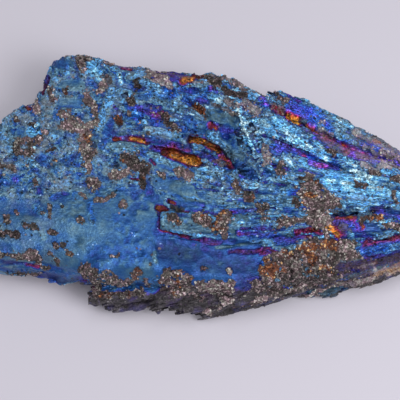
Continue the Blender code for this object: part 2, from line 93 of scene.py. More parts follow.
# Regions of the broad face, as the camera sees it: where each one fades in or out, right or up.
FACE_EDGE = (-9.6, -8.0)  # the open face is left of it, and the blue terrace right of it
FACE_TOP = (-2.5, 1.0)  # down from a wavy line across the middle
TERRACE_TOP = (6.8, 8.0)  # down from the middle
TERRACE_END = (9.0, 13.0)
ROUGH_FOOT = (-1.0, 4.0)
ROUGH_END = (8.0, 14.0)
WIDE_END = (-32.0, -22.0)
BRIGHT_CORNER = ((-12.0, -6.0), (16.0, 22.0))
GREY_FAN_CORNER = ((24.0, 33.0), (4.0, 9.0))
BARE_START = (-24.0, -22.5)

# And by place on the stone: along the fan, out towards the front, and up from the floor.
FAN_START = (-12.0, 8.0)
BARE_DEPTH = (8.0, 11.0)
FRONT_DEPTH = (12.0, 14.0)
RIM_HEIGHT = (9.5, 12.0)
FACE_HEIGHT = (11.0, 13.0)
FOOT_HEIGHT = (0.0, 1.2)

# The stone's relief: a lath's width, thickness and length, and how far apart facets and pits lie.
COARSE_LATH = (2.1, 1.9, 13.0)
FINE_LATH = (0.8, 0.8, 5.0)
FILM_PLATE = (1.7, 1.6, 12.0)
BLOCK_SIZE = 2.3
CHIP_SIZE = 0.8
PIT_SPACING = 1.5
DEEPEST, HIGHEST = -0.9, 0.8
WORN_ROUNDS = 36  # smoothing rounds that flatten the calm face
MERGE_GAP = 1e-7  # metres between corners that are one

# Film levels, from the thinnest coat to the thickest.
BRONZE, GOLD, ORANGE, RED, MAGENTA, PURPLE = 0.0, 0.08, 0.17, 0.27, 0.37, 0.47
VIOLET, ROYAL, BLUE, STEEL, TEAL, AZURE, CYAN, PALE = 0.56, 0.64, 0.71, 0.76, 0.81, 0.86, 0.93, 1.0

# Where a stroke of film starts to fade and where it is gone, in half widths. Below this level it is a thin
# film, with a crisper edge.
THIN_FILM = PURPLE + 0.05
THIN_EDGE = (0.5, 1.2)
THICK_EDGE = (0.3, 1.35)
FILM_METAL = 0.5

# ---- Where things lie on the broad face ----

# Places are as the camera sees them: (right, up) from the frame's middle, in millimetres at the stone. A
# row's numbers come first, and the points of its middle line last.

# Below this line the front is bare and dark.
FRONT_LINE = (
    (-23.5, -16.2), (-20.5, -17.4), (-9, -17.6), (-7, -16.4), (10, -16.6),
    (19, -16.9), (27, -15.2), (38, -12.3), (50, -9.8),
)

# Reach and shift: within its reach of the line, the stone's edge moves by the shift.
RIMS = (
    # The rear rim, from the fan to the wide end
    (4, (0.2, 0.72, 0), (28, 14.6), (38, 10.2), (46, 7)),
    (1.4, (0, 0.35, 0), (24, 16.6), (26, 15.8)),
    (1.5, (0, 0.5, 0.1), (15.8, 20.4), (17.6, 19.8), (19.2, 19)),
    (1.3, (0, 0.5, 0), (6.4, 22.2), (8.6, 21.6)),
    (0.9, (0, -0.4, 0), (12.4, 20.6), (13.4, 20.2)),
    (1.3, (0, 0.8, 0), (35.8, 11.4), (38.2, 10)),
    (1.1, (0, 0.35, 0), (-7.6, 24.2), (-5, 23.8)),
    (1.3, (0, -0.5, 0), (3.2, 24.4), (4.6, 24)),
    # The wide end, and the foot under it
    (1.4, (-0.2, 1.1, 0), (-28.8, 25.4), (-28, 26)),
    (1.2, (0.7, -0.5, 0), (-30.6, 22.2), (-30.4, 21.4)),
    (1.8, (0, -0.7, 0), (-40, -14.4), (-33.5, -14.4)),
    (1.8, (0, -0.6, 0), (-31, -14.6), (-26.5, -15.2)),
    (2, (2, 1, 0), (-23, -16.2), (-22.2, -18)),
    (1.2, (0, -0.8, 0), (-26.6, -15.2), (-24.4, -15.4)),
    # The broken front, and the fan's front rim
    (1, (-0.2, -0.5, 0), (-20.8, -19.4), (-20, -19.8)),
    (1.5, (0, 0.7, 0.1), (-16.6, -21.9), (-15.6, -22.1)),
    (1.7, (0, 1.6, 0.2), (-13.9, -22.3), (-11.6, -22), (-9.2, -21.6)),
    (1.3, (0.5, 1.4, 0), (-10.9, -22.2), (-9.7, -22.6)),
    (1.4, (0, -1.2, 0), (-7.8, -20.8), (-7.2, -21.2)),
    (1.6, (0.3, 1.6, 0.1), (-3, -22.6), (-0.6, -22.9)),
    (1.6, (0, 0.45, 0), (1.5, -23.2), (5, -22.8), (9.5, -21.6)),
    (3.5, (0, 0.5, 0.1), (19.5, -19.6), (23.5, -19.2), (27, -18.4), (33, -16.7), (38, -15.3), (46, -13)),
)

# Smooth facets among the broken ones, on the rough end and the plates: half a facet's width.
FACETS = (
    (1.3, (-27.6, 26.2), (-25.1, 25.7)),
    (1.4, (2.2, 16.2), (7, 14.8)),
    (1.2, (4.6, 12.4), (7, 9.8)),
    (1.3, (-1.8, 14.8), (1.2, 13.6)),
    (1.2, (-25.8, 21.8), (-22.8, 21.8)),
    (1.1, (-26.2, 18.5), (-22.8, 18.3)),
    (0.9, (-8.6, 24), (-3.4, 23.4)),
    (1.4, (-34, 12.6), (-31, 11.2)),
    (1.3, (-9.2, 7.9), (-5, 6.4), (-1.2, 4.8)),
    (1.4, (-7.8, 3.4), (-2, 1.8)),
    (0.9, (-16.8, 10.8), (-13.4, 10.2)),
)

# Strokes of the film: half a stroke's width, its level at the first and the last point, and its shade, which
# darkens or lightens it. The shade is partly the film's own darker and lighter colour and partly painted
# light:
# painted shade in cracks, grooves and holes where it is low, painted highlights and glints on crests where
# it is high. Later strokes lie over earlier ones.
FILM_MARKS = {
    # The wide end and its rough upper corner
    "corner facet": (1.35, ROYAL + 0.05, BLUE, 0.95, (-27.6, 26.2), (-25.1, 25.7)),
    "wide end rim": (0.4, PURPLE, MAGENTA, 0.3, (-28.9, 23.4), (-29.8, 20.1)),
    "red bead": (0.35, RED, RED, 0.5, (-33, 17.9), (-32.4, 17.4)),
    "sparkling hump": (1.4, CYAN, PALE, 1.05, (-20.9, 25.6), (-19.5, 23.9)),
    "hump glint": (0.4, PALE, PALE, 1.2, (-15.4, 23.9), (-15, 22.4)),
    "blue ridge": (0.95, AZURE - 0.02, AZURE, 1.2, (-16.7, 20.6), (-18, 17.1), (-19.4, 13.7)),
    "trough by the ridge": (0.9, ROYAL + 0.03, ROYAL + 0.04, 0.9, (-16.5, 15.6), (-17.9, 12.3), (-19, 10.1)),
    "violet by the fork": (0.75, VIOLET + 0.05, ROYAL, 1.2, (-11.8, 9.4), (-9.8, 8.7)),
    "pale wide end": (1.6, TEAL, TEAL, 1.1, (-37.2, 12.9), (-35.3, 9.5)),
    "wide end glint": (0.6, PALE, PALE, 1.3, (-32.1, 12.9), (-31.2, 14.1)),
    "small glint": (0.35, CYAN, CYAN, 1.2, (-31.5, 10.3), (-31.2, 9.8)),
    "lower glint": (0.75, CYAN, AZURE, 1.2, (-32.2, 7.5), (-31.2, 6.7)),
    "deep mottling": (1.2, ROYAL + 0.04, BLUE, 1, (-30, 7.4), (-27.7, 6.1)),
    "deep mottling two": (0.8, ROYAL + 0.05, ROYAL + 0.03, 0.95, (-25, 8), (-23.2, 8.4)),
    "royal by the mottling": (1, ROYAL + 0.04, BLUE, 1, (-31, 5.4), (-29.6, 4.4)),
    "blue wide end": (1.2, BLUE, BLUE, 1, (-36.5, 3.4), (-34, 1.6)),
    "blue by the fork": (0.9, BLUE, AZURE, 1.05, (-28.8, 12.9), (-27.2, 12.2)),
    "steel by the edge": (0.9, STEEL, STEEL, 1.4, (-31.2, -1.6), (-29.8, -2.6)),
    "shade at the wide end": (1, BLUE, BLUE, 0.65, (-38, -8.6), (-36.4, -9.4)),
    "violet dot": (0.7, VIOLET + 0.04, VIOLET + 0.04, 1.1, (-35.2, 3.9), (-34.8, 3.6)),
    "violet dot two": (0.5, VIOLET + 0.05, ROYAL, 1, (-30.6, 1.7), (-30.2, 1.3)),
    "royal spot": (0.6, ROYAL + 0.03, ROYAL + 0.03, 0.95, (-28.1, 0.4), (-26.6, 1)),
    "grey face": (1.5, TEAL - 0.03, TEAL - 0.02, 0.9, (-26.2, -2.9), (-22.8, -1.3)),
    "grey face two": (0.8, TEAL - 0.02, TEAL - 0.01, 0.9, (-18.4, 1.7), (-15.8, 1.2)),
    "mid face": (3, BLUE + 0.01, BLUE, 0.92, (-14.8, -4), (-10.6, -9.6), (-19.4, -11)),
    "glint column": (0.6, BLUE, BLUE, 1.15, (-20.9, -0.6), (-20.5, -4.2)),
    "blue by the tail": (0.9, BLUE, BLUE, 0.85, (-19, 4.6), (-17.2, 3.2)),
    "shade by the stem": (0.7, ROYAL + 0.03, BLUE, 0.7, (-20.6, 13.4), (-19.8, 11.8)),
    "royal over the lath": (0.8, ROYAL + 0.04, BLUE, 0.75, (-9.6, 1), (-7.8, -0.2)),
    "deep by the row": (0.8, BLUE - 0.02, BLUE, 0.72, (-12.8, -2.2), (-12.4, -1.1), (-10.4, -1.2)),
    "royal over the notch": (0.7, ROYAL + 0.04, BLUE, 0.75, (-4.4, -0.6), (-1.8, -1.2)),
    "steel by the dash": (0.8, BLUE + 0.03, STEEL, 0.95, (-31.2, -6.4), (-29.4, -7.2)),
    "shade in the fork": (0.6, ROYAL + 0.03, BLUE, 0.7, (-23, 15.9), (-21.8, 15.2)),
    "shade by the step": (0.7, STEEL, STEEL, 0.75, (-10.4, -8.4), (-9.4, -9.6)),
    "step by the terrace": (0.45, CYAN, STEEL, 1.15, (-8.7, -9.4), (-8.2, -12.2)),
    "blue terrace": (2.3, ROYAL + 0.04, ROYAL + 0.05, 0.42, (-6.6, -9.4), (-1.5, -10.4)),
    "blue terrace right": (2.1, BLUE - 0.02, ROYAL + 0.03, 0.5, (1, -12.4), (9, -12.6)),
    "wide end step": (0.4, ROYAL, VIOLET, 0.5, (-37.6, -11.6), (-33.8, -12.2), (-30.4, -12.9)),
    "red by the step": (0.35, PURPLE, RED, 0.75, (-33.1, -12.5), (-30.4, -12.7)),
    "blue under the step": (0.6, BLUE, BLUE, 0.85, (-37.6, -13.1), (-32.8, -13.5)),
    "blue front wall": (1, ROYAL + 0.03, BLUE, 0.9, (-28.9, -12.9), (-25.8, -13.7), (-23.2, -15.2)),
    "blue under the face": (1.3, BLUE + 0.02, BLUE + 0.02, 1, (-19.6, -15.4), (-15, -15.8), (-8.4, -15.9)),
    "indigo front": (1.3, ROYAL, VIOLET, 0.5, (7.4, -15.3), (10.6, -15.7)),
    "dark foot of the wide end": (0.9, ROYAL, BLUE, 0.35, (-31, -14.6), (-26.6, -15.2), (-23.6, -16.4)),
    # Laths and slots between the ridge and the crossing
    "rear slot": (0.45, PURPLE, RED, 0.7, (-15.6, 25.3), (-13.3, 24.9)),
    "pale under the rim": (0.6, CYAN, TEAL, 1.2, (-9.6, 21.9), (-8, 21.4)),
    "rear recess": (1.2, PURPLE + 0.02, PURPLE, 0.5, (-8.4, 24.2), (-5.3, 23.6), (-3, 22.7)),
    "rear violet": (0.45, VIOLET, VIOLET, 0.8, (-5.9, 23.4), (-4.4, 23)),
    "rear red-brown": (0.5, ORANGE, RED, 0.45, (-1.4, 23.5), (0.3, 23.5)),
    "rear gold": (0.7, GOLD, GOLD + 0.03, 1.05, (-3, 22.7), (-1.6, 22.9)),
    "azure rear plate": (1.5, BLUE + 0.02, AZURE - 0.06, 1.35, (-9, 20.4), (-5.6, 19.2)),
    "rear blue plate": (1.8, ROYAL + 0.03, BLUE, 1.4, (-6, 20.2), (-2.9, 19.6), (0.6, 20.5)),
    "royal of the rear plate": (0.8, ROYAL, ROYAL + 0.02, 0.8, (-2.6, 20.3), (-0.8, 21)),
    "rear magenta": (0.6, PURPLE, VIOLET, 0.8, (2, 21.2), (3, 20.4)),
    "violet bead": (0.55, VIOLET, VIOLET, 1.1, (-2.2, 18.4), (-1.8, 18)),
    "magenta spot": (0.4, MAGENTA, VIOLET, 1, (-16.2, 17.8), (-15.8, 17.4)),
    "violet slot mouth": (0.9, VIOLET + 0.04, VIOLET, 1.1, (-13.3, 17.9), (-11, 17.1)),
    "violet slot": (0.9, VIOLET - 0.04, PURPLE + 0.02, 0.8, (-11, 17.2), (-7.6, 15.9)),
    "dark over the slot": (0.5, ROYAL, VIOLET, 0.5, (-10.2, 18.1), (-7.9, 17.6)),
    "red slot end": (0.45, RED, RED, 0.75, (-7.4, 16.5), (-7, 16.2)),
    "steel plate": (1.4, TEAL - 0.01, STEEL, 0.75, (1.9, 16.1), (7.4, 14.8)),
    "steel plate end": (0.5, TEAL, TEAL, 1.25, (4.9, 17.3), (7, 17.3)),
    "blue plate by the blade": (1.4, BLUE - 0.02, STEEL, 0.95, (5.2, 13), (5.9, 10.2), (8.2, 7.6)),
    "blue plate by the round": (1.5, BLUE, STEEL - 0.02, 0.95, (-1.6, 15), (0.6, 13.2)),
    "dark by the bead": (0.5, VIOLET, ROYAL, 0.6, (-0.6, 18.9), (1.2, 18.6)),
    "teal by the slot": (0.9, TEAL, STEEL, 1.25, (-5, 17.4), (-3.4, 17.4)),
    "azure under the slot": (0.75, VIOLET + 0.07, AZURE, 1.5, (-12.2, 15.8), (-10.4, 14.9)),
    "dark over the red slot": (0.6, ROYAL, BLUE, 0.65, (-16.4, 12.9), (-14.6, 12.7)),
    "magenta over the blade": (0.85, MAGENTA, PURPLE, 0.6, (2, 14.4), (3.6, 13.6)),
    "ember over the blade": (0.35, ORANGE, ORANGE, 0.9, (2.9, 13.7), (3.3, 13.4)),
    "dark over the blade": (0.7, VIOLET + 0.03, ROYAL, 0.85, (4, 13.6), (6.4, 12.9)),
    "shade by the plume": (0.45, ROYAL, BLUE, 0.2, (7, 12.8), (7.6, 10.8)),
    "blue by the blade": (0.6, ROYAL, BLUE, 0.9, (4.6, 12.2), (6.3, 11.2)),
    "red slot": (0.42, RED, RED, 0.6, (-16.3, 11.8), (-14.8, 11.8)),
    "violet in the slot": (0.5, VIOLET, VIOLET, 0.9, (-14.6, 11.8), (-13.8, 11.8)),
    "slot rim": (0.75, PURPLE, MAGENTA, 0.4, (-13.9, 11.9), (-10, 11.2)),
    "orange slot": (0.5, GOLD + 0.03, ORANGE, 0.8, (-13.2, 11.8), (-10.6, 11.2)),
    "pale lath": (0.9, TEAL, TEAL, 1.05, (-16.7, 10.3), (-12.9, 9.9)),
    "pale lath glint": (0.45, PALE, PALE, 1.5, (-12.8, 9.8), (-12, 9.5)),
    "violet by the fork again": (0.7, VIOLET + 0.06, ROYAL, 1.1, (-11.6, 9.2), (-9.8, 8.6)),
    "plate tip": (0.7, AZURE, CYAN, 1.2, (-9.2, 8.3), (-7.4, 7.5)),
    "azure below the slot": (0.6, AZURE - 0.05, BLUE, 1.25, (-12.8, 9.9), (-11.2, 9.6)),
    "royal foot": (0.8, ROYAL + 0.02, ROYAL, 0.8, (-10.2, 3.2), (-9.4, 1.6)),
    "dark trough": (0.6, ROYAL, VIOLET, 0.6, (-9.7, 11.6), (-4.8, 10.5)),
    "magenta over the hollow": (
        0.75, VIOLET, MAGENTA, 0.8,
        (-8.9, 9.7), (-6.7, 10.1), (-4.2, 9.7), (-2.3, 9.5),
    ),
    "hollow rim": (1.25, RED, ORANGE, 0.25, (-6.3, 8.9), (-3, 7.9), (-0.6, 7.2)),
    "gold hollow": (0.85, GOLD, GOLD + 0.03, 0.92, (-5.4, 8.4), (-3, 7.8), (-0.6, 7.2)),
    "gold hollow light": (0.3, GOLD - 0.04, GOLD - 0.03, 1.7, (-3.8, 8.1), (-2.8, 7.8)),
    "arc rim": (1, ORANGE, RED, 0.25, (-1.6, 11.2), (0.6, 11.2), (3.4, 9.6), (6.1, 6.8)),
    "gold arc": (0.6, GOLD, GOLD + 0.04, 0.72, (-1.4, 11.1), (0, 11.1), (2.3, 10.1), (4.2, 8.4), (5.6, 7)),
    "arc end": (0.5, BRONZE, PURPLE, 0.5, (6.5, 7.4), (8.9, 6.1)),
    "blade in the arc": (0.5, CYAN, ROYAL, 1.1, (-1.7, 10.5), (0.4, 9.7), (2.3, 8.7)),
    "indigo in the arc": (0.6, VIOLET, ROYAL, 0.35, (0.7, 8.9), (2.6, 7.9)),
    "curved blade": (0.55, CYAN, STEEL, 1.05, (1.7, 12.6), (3.8, 10.9), (6.1, 8.6), (7.8, 6.9)),
    "lath glint two": (0.65, PALE, CYAN, 1.2, (16.8, 11.9), (19.6, 9.7)),
    "lilac field": (0.7, VIOLET + 0.05, VIOLET + 0.08, 1.9, (23.4, 14.6), (25, 13.4)),
    "magenta bead": (0.5, MAGENTA, RED, 1.2, (3.6, 8.3), (4.1, 7.8)),
    "purple pool": (0.6, PURPLE + 0.04, VIOLET, 0.8, (1.9, 8), (3, 7.2)),
    "pointed blade": (0.75, TEAL, STEEL, 1.12, (-9.7, 8.6), (-7, 7.6), (-3.4, 6.1)),
    "magenta by the blade": (0.3, MAGENTA, RED, 0.5, (-9.3, 7.8), (-8.6, 6.8)),
    "glinting zone": (1, AZURE - 0.03, BLUE, 1.25, (-0.8, 4.4), (2.9, 4.8), (6.8, 3.4)),
    "violet by the hinge": (0.7, VIOLET, VIOLET, 1.1, (7.8, 4.8), (8.2, 4.4)),
    "red curve": (0.25, RED, RED, 0.5, (-13.2, 4.1), (-11.4, 3.9)),
    "royal by the curve": (0.7, ROYAL + 0.02, ROYAL + 0.02, 0.9, (-12.6, 2.4), (-12.2, 0.4)),
    "plume": (0.5, PALE, PALE, 1.35, (7.4, 17), (8.2, 14.2), (9.3, 10.8)),
    "plume side": (0.7, TEAL, CYAN, 1.1, (10.2, 16.4), (11.4, 14.6)),
    "hole by the plume": (0.45, BLUE, ROYAL, 0.25, (9.1, 15.3), (9.5, 14.4)),
    "plume foot": (0.45, CYAN, TEAL, 1.15, (8.3, 12.2), (9, 9.6)),
    "plume wing": (0.3, PALE, CYAN, 1.2, (8.4, 14.4), (10.2, 15.6)),
    "rim glint": (0.25, AZURE, CYAN, 1.1, (9, 20.2), (10.7, 19.2)),
    "lilac under the rim": (0.7, VIOLET, VIOLET + 0.03, 1.4, (11.3, 19), (12.4, 18)),
    "pale block": (0.85, CYAN - 0.02, CYAN, 1.05, (2, 19.8), (3.6, 19)),
    "white sliver": (0.2, PALE, PALE, 1.5, (-2.3, 16.5), (-1.2, 16.2)),
    # The fan
    "pale sheet": (1.2, CYAN + 0.03, CYAN, 1, (12, 14.6), (14, 12.5)),
    "bright lath": (0.95, CYAN, PALE - 0.02, 1.15, (14.2, 15.4), (18.2, 11.5), (21.1, 9.1), (23.6, 7.8)),
    "whitish lath": (0.4, TEAL, PALE, 1.1, (20.8, 11.6), (23.2, 10)),
    "groove red": (0.9, RED + 0.04, ORANGE + 0.06, 0.85, (14, 17.6), (15.5, 16.8)),
    "groove gold rim": (0.6, PURPLE, VIOLET, 1, (15.4, 17.4), (16.4, 16.8)),
    "groove gold": (0.85, GOLD - 0.02, GOLD - 0.01, 2, (17, 16), (18.9, 14.9)),
    "groove orange": (0.5, GOLD + 0.03, ORANGE, 1.4, (20.6, 13.7), (21.4, 13.1)),
    "groove magenta": (
        1.1, MAGENTA + 0.04, PURPLE, 1.5,
        (21.1, 13.3), (23.9, 11.7), (26.2, 10.6), (28.4, 9.7),
    ),
    "groove orange again": (0.7, ORANGE - 0.05, ORANGE + 0.05, 1.5, (20.8, 13.9), (22, 13.1)),
    "groove ember": (0.35, ORANGE, RED, 1.2, (22.6, 12.5), (24, 11.7)),
    "groove ember two": (0.35, ORANGE, RED, 1.6, (26.8, 10.8), (28.2, 10.2)),
    "groove purple": (1.4, MAGENTA + 0.05, PURPLE, 1.7, (28.4, 9.6), (30.4, 8.8), (33, 7.6)),
    "groove violet": (1.4, VIOLET - 0.03, VIOLET + 0.02, 1.7, (33.4, 8.4), (38, 7.2), (43, 5.2)),
    "violet field": (1.3, VIOLET + 0.02, VIOLET + 0.03, 1.5, (17.2, 18), (19.8, 16.6)),
    "royal field": (1.5, ROYAL - 0.02, ROYAL + 0.03, 1.6, (20.8, 16.8), (23.4, 14.9), (25.6, 13.6)),
    "rim cyan": (0.7, TEAL, CYAN, 1.15, (25.1, 15.9), (27.2, 14.9)),
    "azure by the rim": (0.65, AZURE - 0.05, AZURE - 0.05, 1.3, (25.3, 14.2), (27.2, 13.6)),
    "pink by the rim": (0.5, RED, ORANGE, 1.4, (33.1, 11.1), (33.7, 10.6)),
    "rim blue": (0.5, AZURE, AZURE, 1.1, (30.8, 12.9), (31.7, 12.2)),
    "blue over the band": (0.45, VIOLET + 0.04, ROYAL, 1.7, (26, 12.1), (31.5, 10.4), (37.6, 8.8)),
    "pale field": (0.5, TEAL, TEAL, 1.1, (25.6, 12.9), (28.6, 11.6)),
    "purple top edge": (0.45, VIOLET, VIOLET, 0.7, (15.8, 20.5), (19, 19)),
    "blue knob": (0.5, BLUE, BLUE, 1.1, (14.3, 19.6), (14.7, 19.2)),
    "violet groove": (0.95, VIOLET + 0.05, VIOLET, 1.2, (13.9, 10.1), (17.7, 8.7)),
    "purple in the groove": (0.65, PURPLE, MAGENTA, 1.5, (18.4, 8.9), (19.8, 8.2)),
    "second groove": (0.85, PURPLE + 0.02, MAGENTA + 0.03, 1.5, (20.9, 7.4), (23.2, 6.5), (25.5, 5.5)),
    "azure by the groove": (0.55, ROYAL, AZURE, 2, (20.8, 8.6), (22.6, 7.9)),
    "dark line": (0.25, ROYAL, ROYAL, 0.3, (18.8, 9.7), (22, 8.2), (25.3, 6.7)),
    "royal end": (0.8, ROYAL, BLUE, 1.1, (25.2, 7.3), (27.6, 5.6)),
    "pale upper lath": (0.55, TEAL, PALE, 1.15, (25.6, 8.8), (27.4, 7.8), (29.6, 6.4)),
    "small pale lath": (0.4, PALE, CYAN, 1.1, (16.7, 7.8), (17.9, 6)),
    "small pale lath two": (0.5, CYAN, CYAN, 1.1, (18.8, 7.6), (20.9, 6.3)),
    "bright sheet": (2.4, CYAN, CYAN + 0.02, 1.15, (25.4, 4), (28.5, 3), (33.3, 2.3), (44, 0.8)),
    "sheet foot two": (0.7, CYAN, AZURE, 1.1, (26, -0.6), (31, -0.6)),
    "azure over the crack": (0.7, AZURE - 0.05, BLUE, 1.35, (32, -0.4), (35.6, -0.8)),
    "pale by the oval": (0.7, CYAN, AZURE, 1.75, (34.8, 5.2), (38, 4.5)),
    "sheet foot": (0.8, CYAN, CYAN, 1.15, (23.8, 3), (25.6, 2.2)),
    "white crest": (0.6, PALE, PALE, 1.15, (28.8, 5.6), (32, 4.6)),
    "white crest two": (0.5, PALE, PALE, 1.15, (27, 3.4), (28.3, 3)),
    "blue band": (0.7, STEEL, BLUE, 0.95, (11.4, 2), (16.6, 1.9)),
    "violet end": (0.8, AZURE - 0.08, VIOLET, 1.4, (15.8, 1.6), (17.2, 1.6), (19, 1.5)),
    "long teal lath": (0.8, STEEL, TEAL, 0.95, (8.6, 0.7), (12.5, 0.3), (16.8, -0.4)),
    "pale ledge": (0.45, TEAL, TEAL + 0.01, 1.1, (13.7, 3.9), (16.9, 3.3)),
    "royal line": (0.5, ROYAL + 0.02, ROYAL, 0.95, (4.4, -2.2), (9, -2.4)),
    "dark teal slope": (1.6, STEEL, BLUE, 0.72, (5.5, 9.2), (9.9, 5.2)),
    "pale line under it": (0.35, TEAL, TEAL, 1.05, (11.4, 0.8), (18.6, 0.4)),
    "shade over the ledge": (0.7, BLUE, STEEL, 0.7, (12.6, 5.3), (14.4, 4.9)),
    "steel middle": (1, BLUE, STEEL, 0.85, (0.4, 0.8), (2.8, -0.2)),
    "shade over the crack": (0.5, BLUE, STEEL, 0.6, (25.6, -1.8), (29.4, -1.9)),
    "blue in the sheet": (0.6, AZURE - 0.04, BLUE, 1, (34.6, 2.9), (38, 1.9)),
    "dark crack": (0.4, ROYAL, VIOLET, 0.15, (25.3, -2.7), (28.5, -2.7), (31.5, -2.3), (34.6, -1.1)),
    "purple by the crack": (1, VIOLET, VIOLET + 0.03, 1.05, (34.2, -2.2), (38, -3), (44, -3.4)),
    "deep end": (0.6, ROYAL, ROYAL + 0.03, 0.8, (36, -1.8), (38, -2.2), (44, -2.6)),
    "cyan by the purple": (0.7, AZURE, CYAN, 1.1, (34, -3.9), (36.2, -4.6)),
    "violet under the crack": (0.8, PURPLE + 0.03, VIOLET, 0.75, (24.7, -3.6), (28.5, -4.3)),
    "violet chips": (1.1, VIOLET, ROYAL, 0.85, (27.5, -5), (32, -6.6)),
    "orange under the crack": (0.4, RED, ORANGE, 0.95, (26, -3.2), (29.4, -3.5)),
    "red left of the pocket": (0.6, RED, MAGENTA, 0.6, (19, -6), (22.8, -6.2)),
    "violet pocket": (0.8, VIOLET + 0.03, ROYAL, 1.15, (27.2, -4.8), (29.8, -4.9)),
    "pocket rim": (1.1, RED, PURPLE, 0.6, (24, -4.6), (25.9, -5.6), (26.6, -7.4)),
    "gold pocket": (0.75, GOLD - 0.04, GOLD + 0.03, 1.45, (24.3, -5.1), (25.5, -5.8), (26.2, -7)),
    "blue chip": (0.35, ROYAL, ROYAL, 1.1, (25.5, -7.4), (26.2, -7.4)),
    "cyan chip": (0.4, CYAN, CYAN, 1.2, (28.3, -5.9), (28.9, -6.8)),
    "white chip": (0.6, PALE, PALE, 1.2, (34.4, -3.8), (34.8, -4)),
    "blue field": (0.95, ROYAL + 0.03, BLUE, 0.85, (31.4, -4.9), (34.4, -6.1)),
    "purple strip": (0.5, PURPLE, VIOLET, 1.1, (29.1, -3.9), (30.3, -5.9)),
    "ember strip": (0.3, RED, ORANGE, 1, (30.6, -4.3), (30.9, -5.2)),
    "deep red groove": (
        0.75, MAGENTA - 0.02, RED + 0.03, 0.75,
        (31, -8.5), (34.5, -7.9), (38, -7.1), (44, -5.9),
    ),
    "lower blue lath": (
        1.1, ROYAL + 0.03, BLUE + 0.03, 1.25,
        (30.8, -9.9), (33.3, -9.2), (38, -8.8), (44, -8.1),
    ),
    "violet under it": (0.7, VIOLET, PURPLE + 0.04, 0.5, (31.4, -11), (38, -10.2), (44, -9.4)),
    "purple band": (
        1.15, PURPLE, PURPLE + 0.04, 0.3,
        (24.6, -13.9), (28.9, -12.8), (33.3, -11.9), (38, -11.3), (44, -10.1),
    ),
    "dark lath": (0.75, TEAL, TEAL, 0.33, (20.6, -17.7), (24, -17.3), (28.6, -16.1)),
    "red bead by the seam": (0.4, RED, RED, 0.4, (33, -12.2), (33.5, -12.2)),
    # Round the square-ended lath
    "square lath face": (1.3, TEAL - 0.03, STEEL, 0.75, (-6.6, -4.2), (2, -5.4), (9, -5.4)),
    "lath upper edge": (0.5, ROYAL, STEEL, 0.6, (-4.2, -2.7), (-1.8, -3.2)),
    "square lath end": (0.5, TEAL + 0.03, TEAL, 1.15, (-7.2, -2.7), (-7, -5.3)),
    "square lath lower edge": (0.4, TEAL, CYAN, 1.1, (-6.5, -5.7), (-1.9, -6.5), (2.7, -7.2)),
    "red under the lath": (
        0.25, RED, PURPLE, 0.4,
        (-7.6, -5.8), (-4.8, -6.6), (-1, -7.5), (2.3, -8), (3.4, -8.2),
    ),
    "red at the corner": (0.2, RED, ORANGE, 0.5, (-7.8, -5.7), (-6.4, -6.1)),
    "purple beside the lath": (0.28, VIOLET, PURPLE, 0.35, (-8, -1.6), (-7.9, -5.8)),
    "red over the lath": (0.28, RED, ORANGE, 0.45, (-8, -1.5), (-6.1, -1.7)),
    "corner ember": (0.6, ORANGE + 0.04, RED, 0.35, (-8, -1.3), (-6.7, -1.4)),
    "corner red": (0.4, RED, RED, 0.32, (-6, -0.1), (-5, -0.5)),
    "lath notch": (0.5, STEEL, STEEL, 0.12, (-5.4, -1.3), (-3.5, -2)),
    "notch end": (0.28, RED, ORANGE, 0.35, (-3.4, -2.1), (-2.4, -2.3)),
    "red spot over the notch": (0.3, RED, ORANGE, 0.45, (-5.6, -0.2), (-5.2, -0.5)),
    "purple below the lath": (0.8, PURPLE, PURPLE - 0.06, 0.4, (0.9, -7.6), (3.4, -8.2)),
    "thin pale lath": (0.45, TEAL, TEAL, 0.6, (3.2, -9), (4.6, -8.9)),
    "thin dark lath": (0.35, TEAL, STEEL, 0.5, (5, -8.9), (9, -8.5), (12.6, -7.8)),
    "thin lath end": (0.55, CYAN, STEEL, 1, (12, -7.6), (14.2, -8.6)),
    "purple under the thin lath": (0.5, PURPLE + 0.03, PURPLE, 0.35, (5.6, -9.9), (9, -9.9), (13.4, -9.2)),
    "purple over the thin lath": (0.8, PURPLE, VIOLET, 0.8, (7.4, -6.5), (10.5, -6.4)),
    "royal over the thin lath": (0.75, VIOLET, VIOLET + 0.05, 1.05, (10.5, -6.6), (15.8, -7.3)),
    "teal lath": (0.6, TEAL, TEAL, 0.95, (6.1, -4.2), (8.6, -4.3)),
    "blue after the teal": (0.6, BLUE, STEEL, 0.8, (9.2, -4.4), (11.8, -4.4)),
    "lath glint": (0.55, CYAN, PALE, 1.2, (6.5, -3), (8.2, -3.9)),
    "purple line": (0.3, PURPLE, PURPLE, 0.6, (4.6, -2), (7, -2.4)),
    "red by the violet": (0.4, MAGENTA, RED, 0.5, (12.9, -9.4), (14.6, -9.9)),
    "indigo under the strip": (0.8, VIOLET + 0.03, ROYAL, 0.55, (0.8, -9), (2, -9.9), (3.8, -10.3)),
    "deep blue by the arc": (0.5, ROYAL, VIOLET, 0.5, (0.4, 8.4), (2.4, 7.8)),
    "deep trough two": (0.5, VIOLET, VIOLET, 0.5, (-4.2, 10.6), (-1.9, 10.2)),
    "shade on the ridge": (0.9, BLUE + 0.01, BLUE, 0.8, (-10.6, -8.6), (-9.2, -9.2)),
    "teal patch": (0.6, TEAL, TEAL, 0.9, (-14.2, 15.4), (-12.6, 14.8)),
    "blue foot": (0.7, BLUE, STEEL, 0.85, (-15.2, -15.4), (-13.6, -16)),
    "violet lift": (0.8, VIOLET + 0.05, ROYAL + 0.02, 2, (20.2, 15.6), (22.4, 14.6)),
    "rim pale": (0.8, CYAN, CYAN, 1.6, (25.6, 15.6), (28.4, 14.2)),
    "blue by lath three": (0.7, BLUE + 0.04, AZURE - 0.04, 0.95, (6.2, -2.9), (8.6, -3.4)),
    "left sheen": (0.9, CYAN, AZURE + 0.04, 1.3, (-32.6, 13.2), (-30.4, 12)),
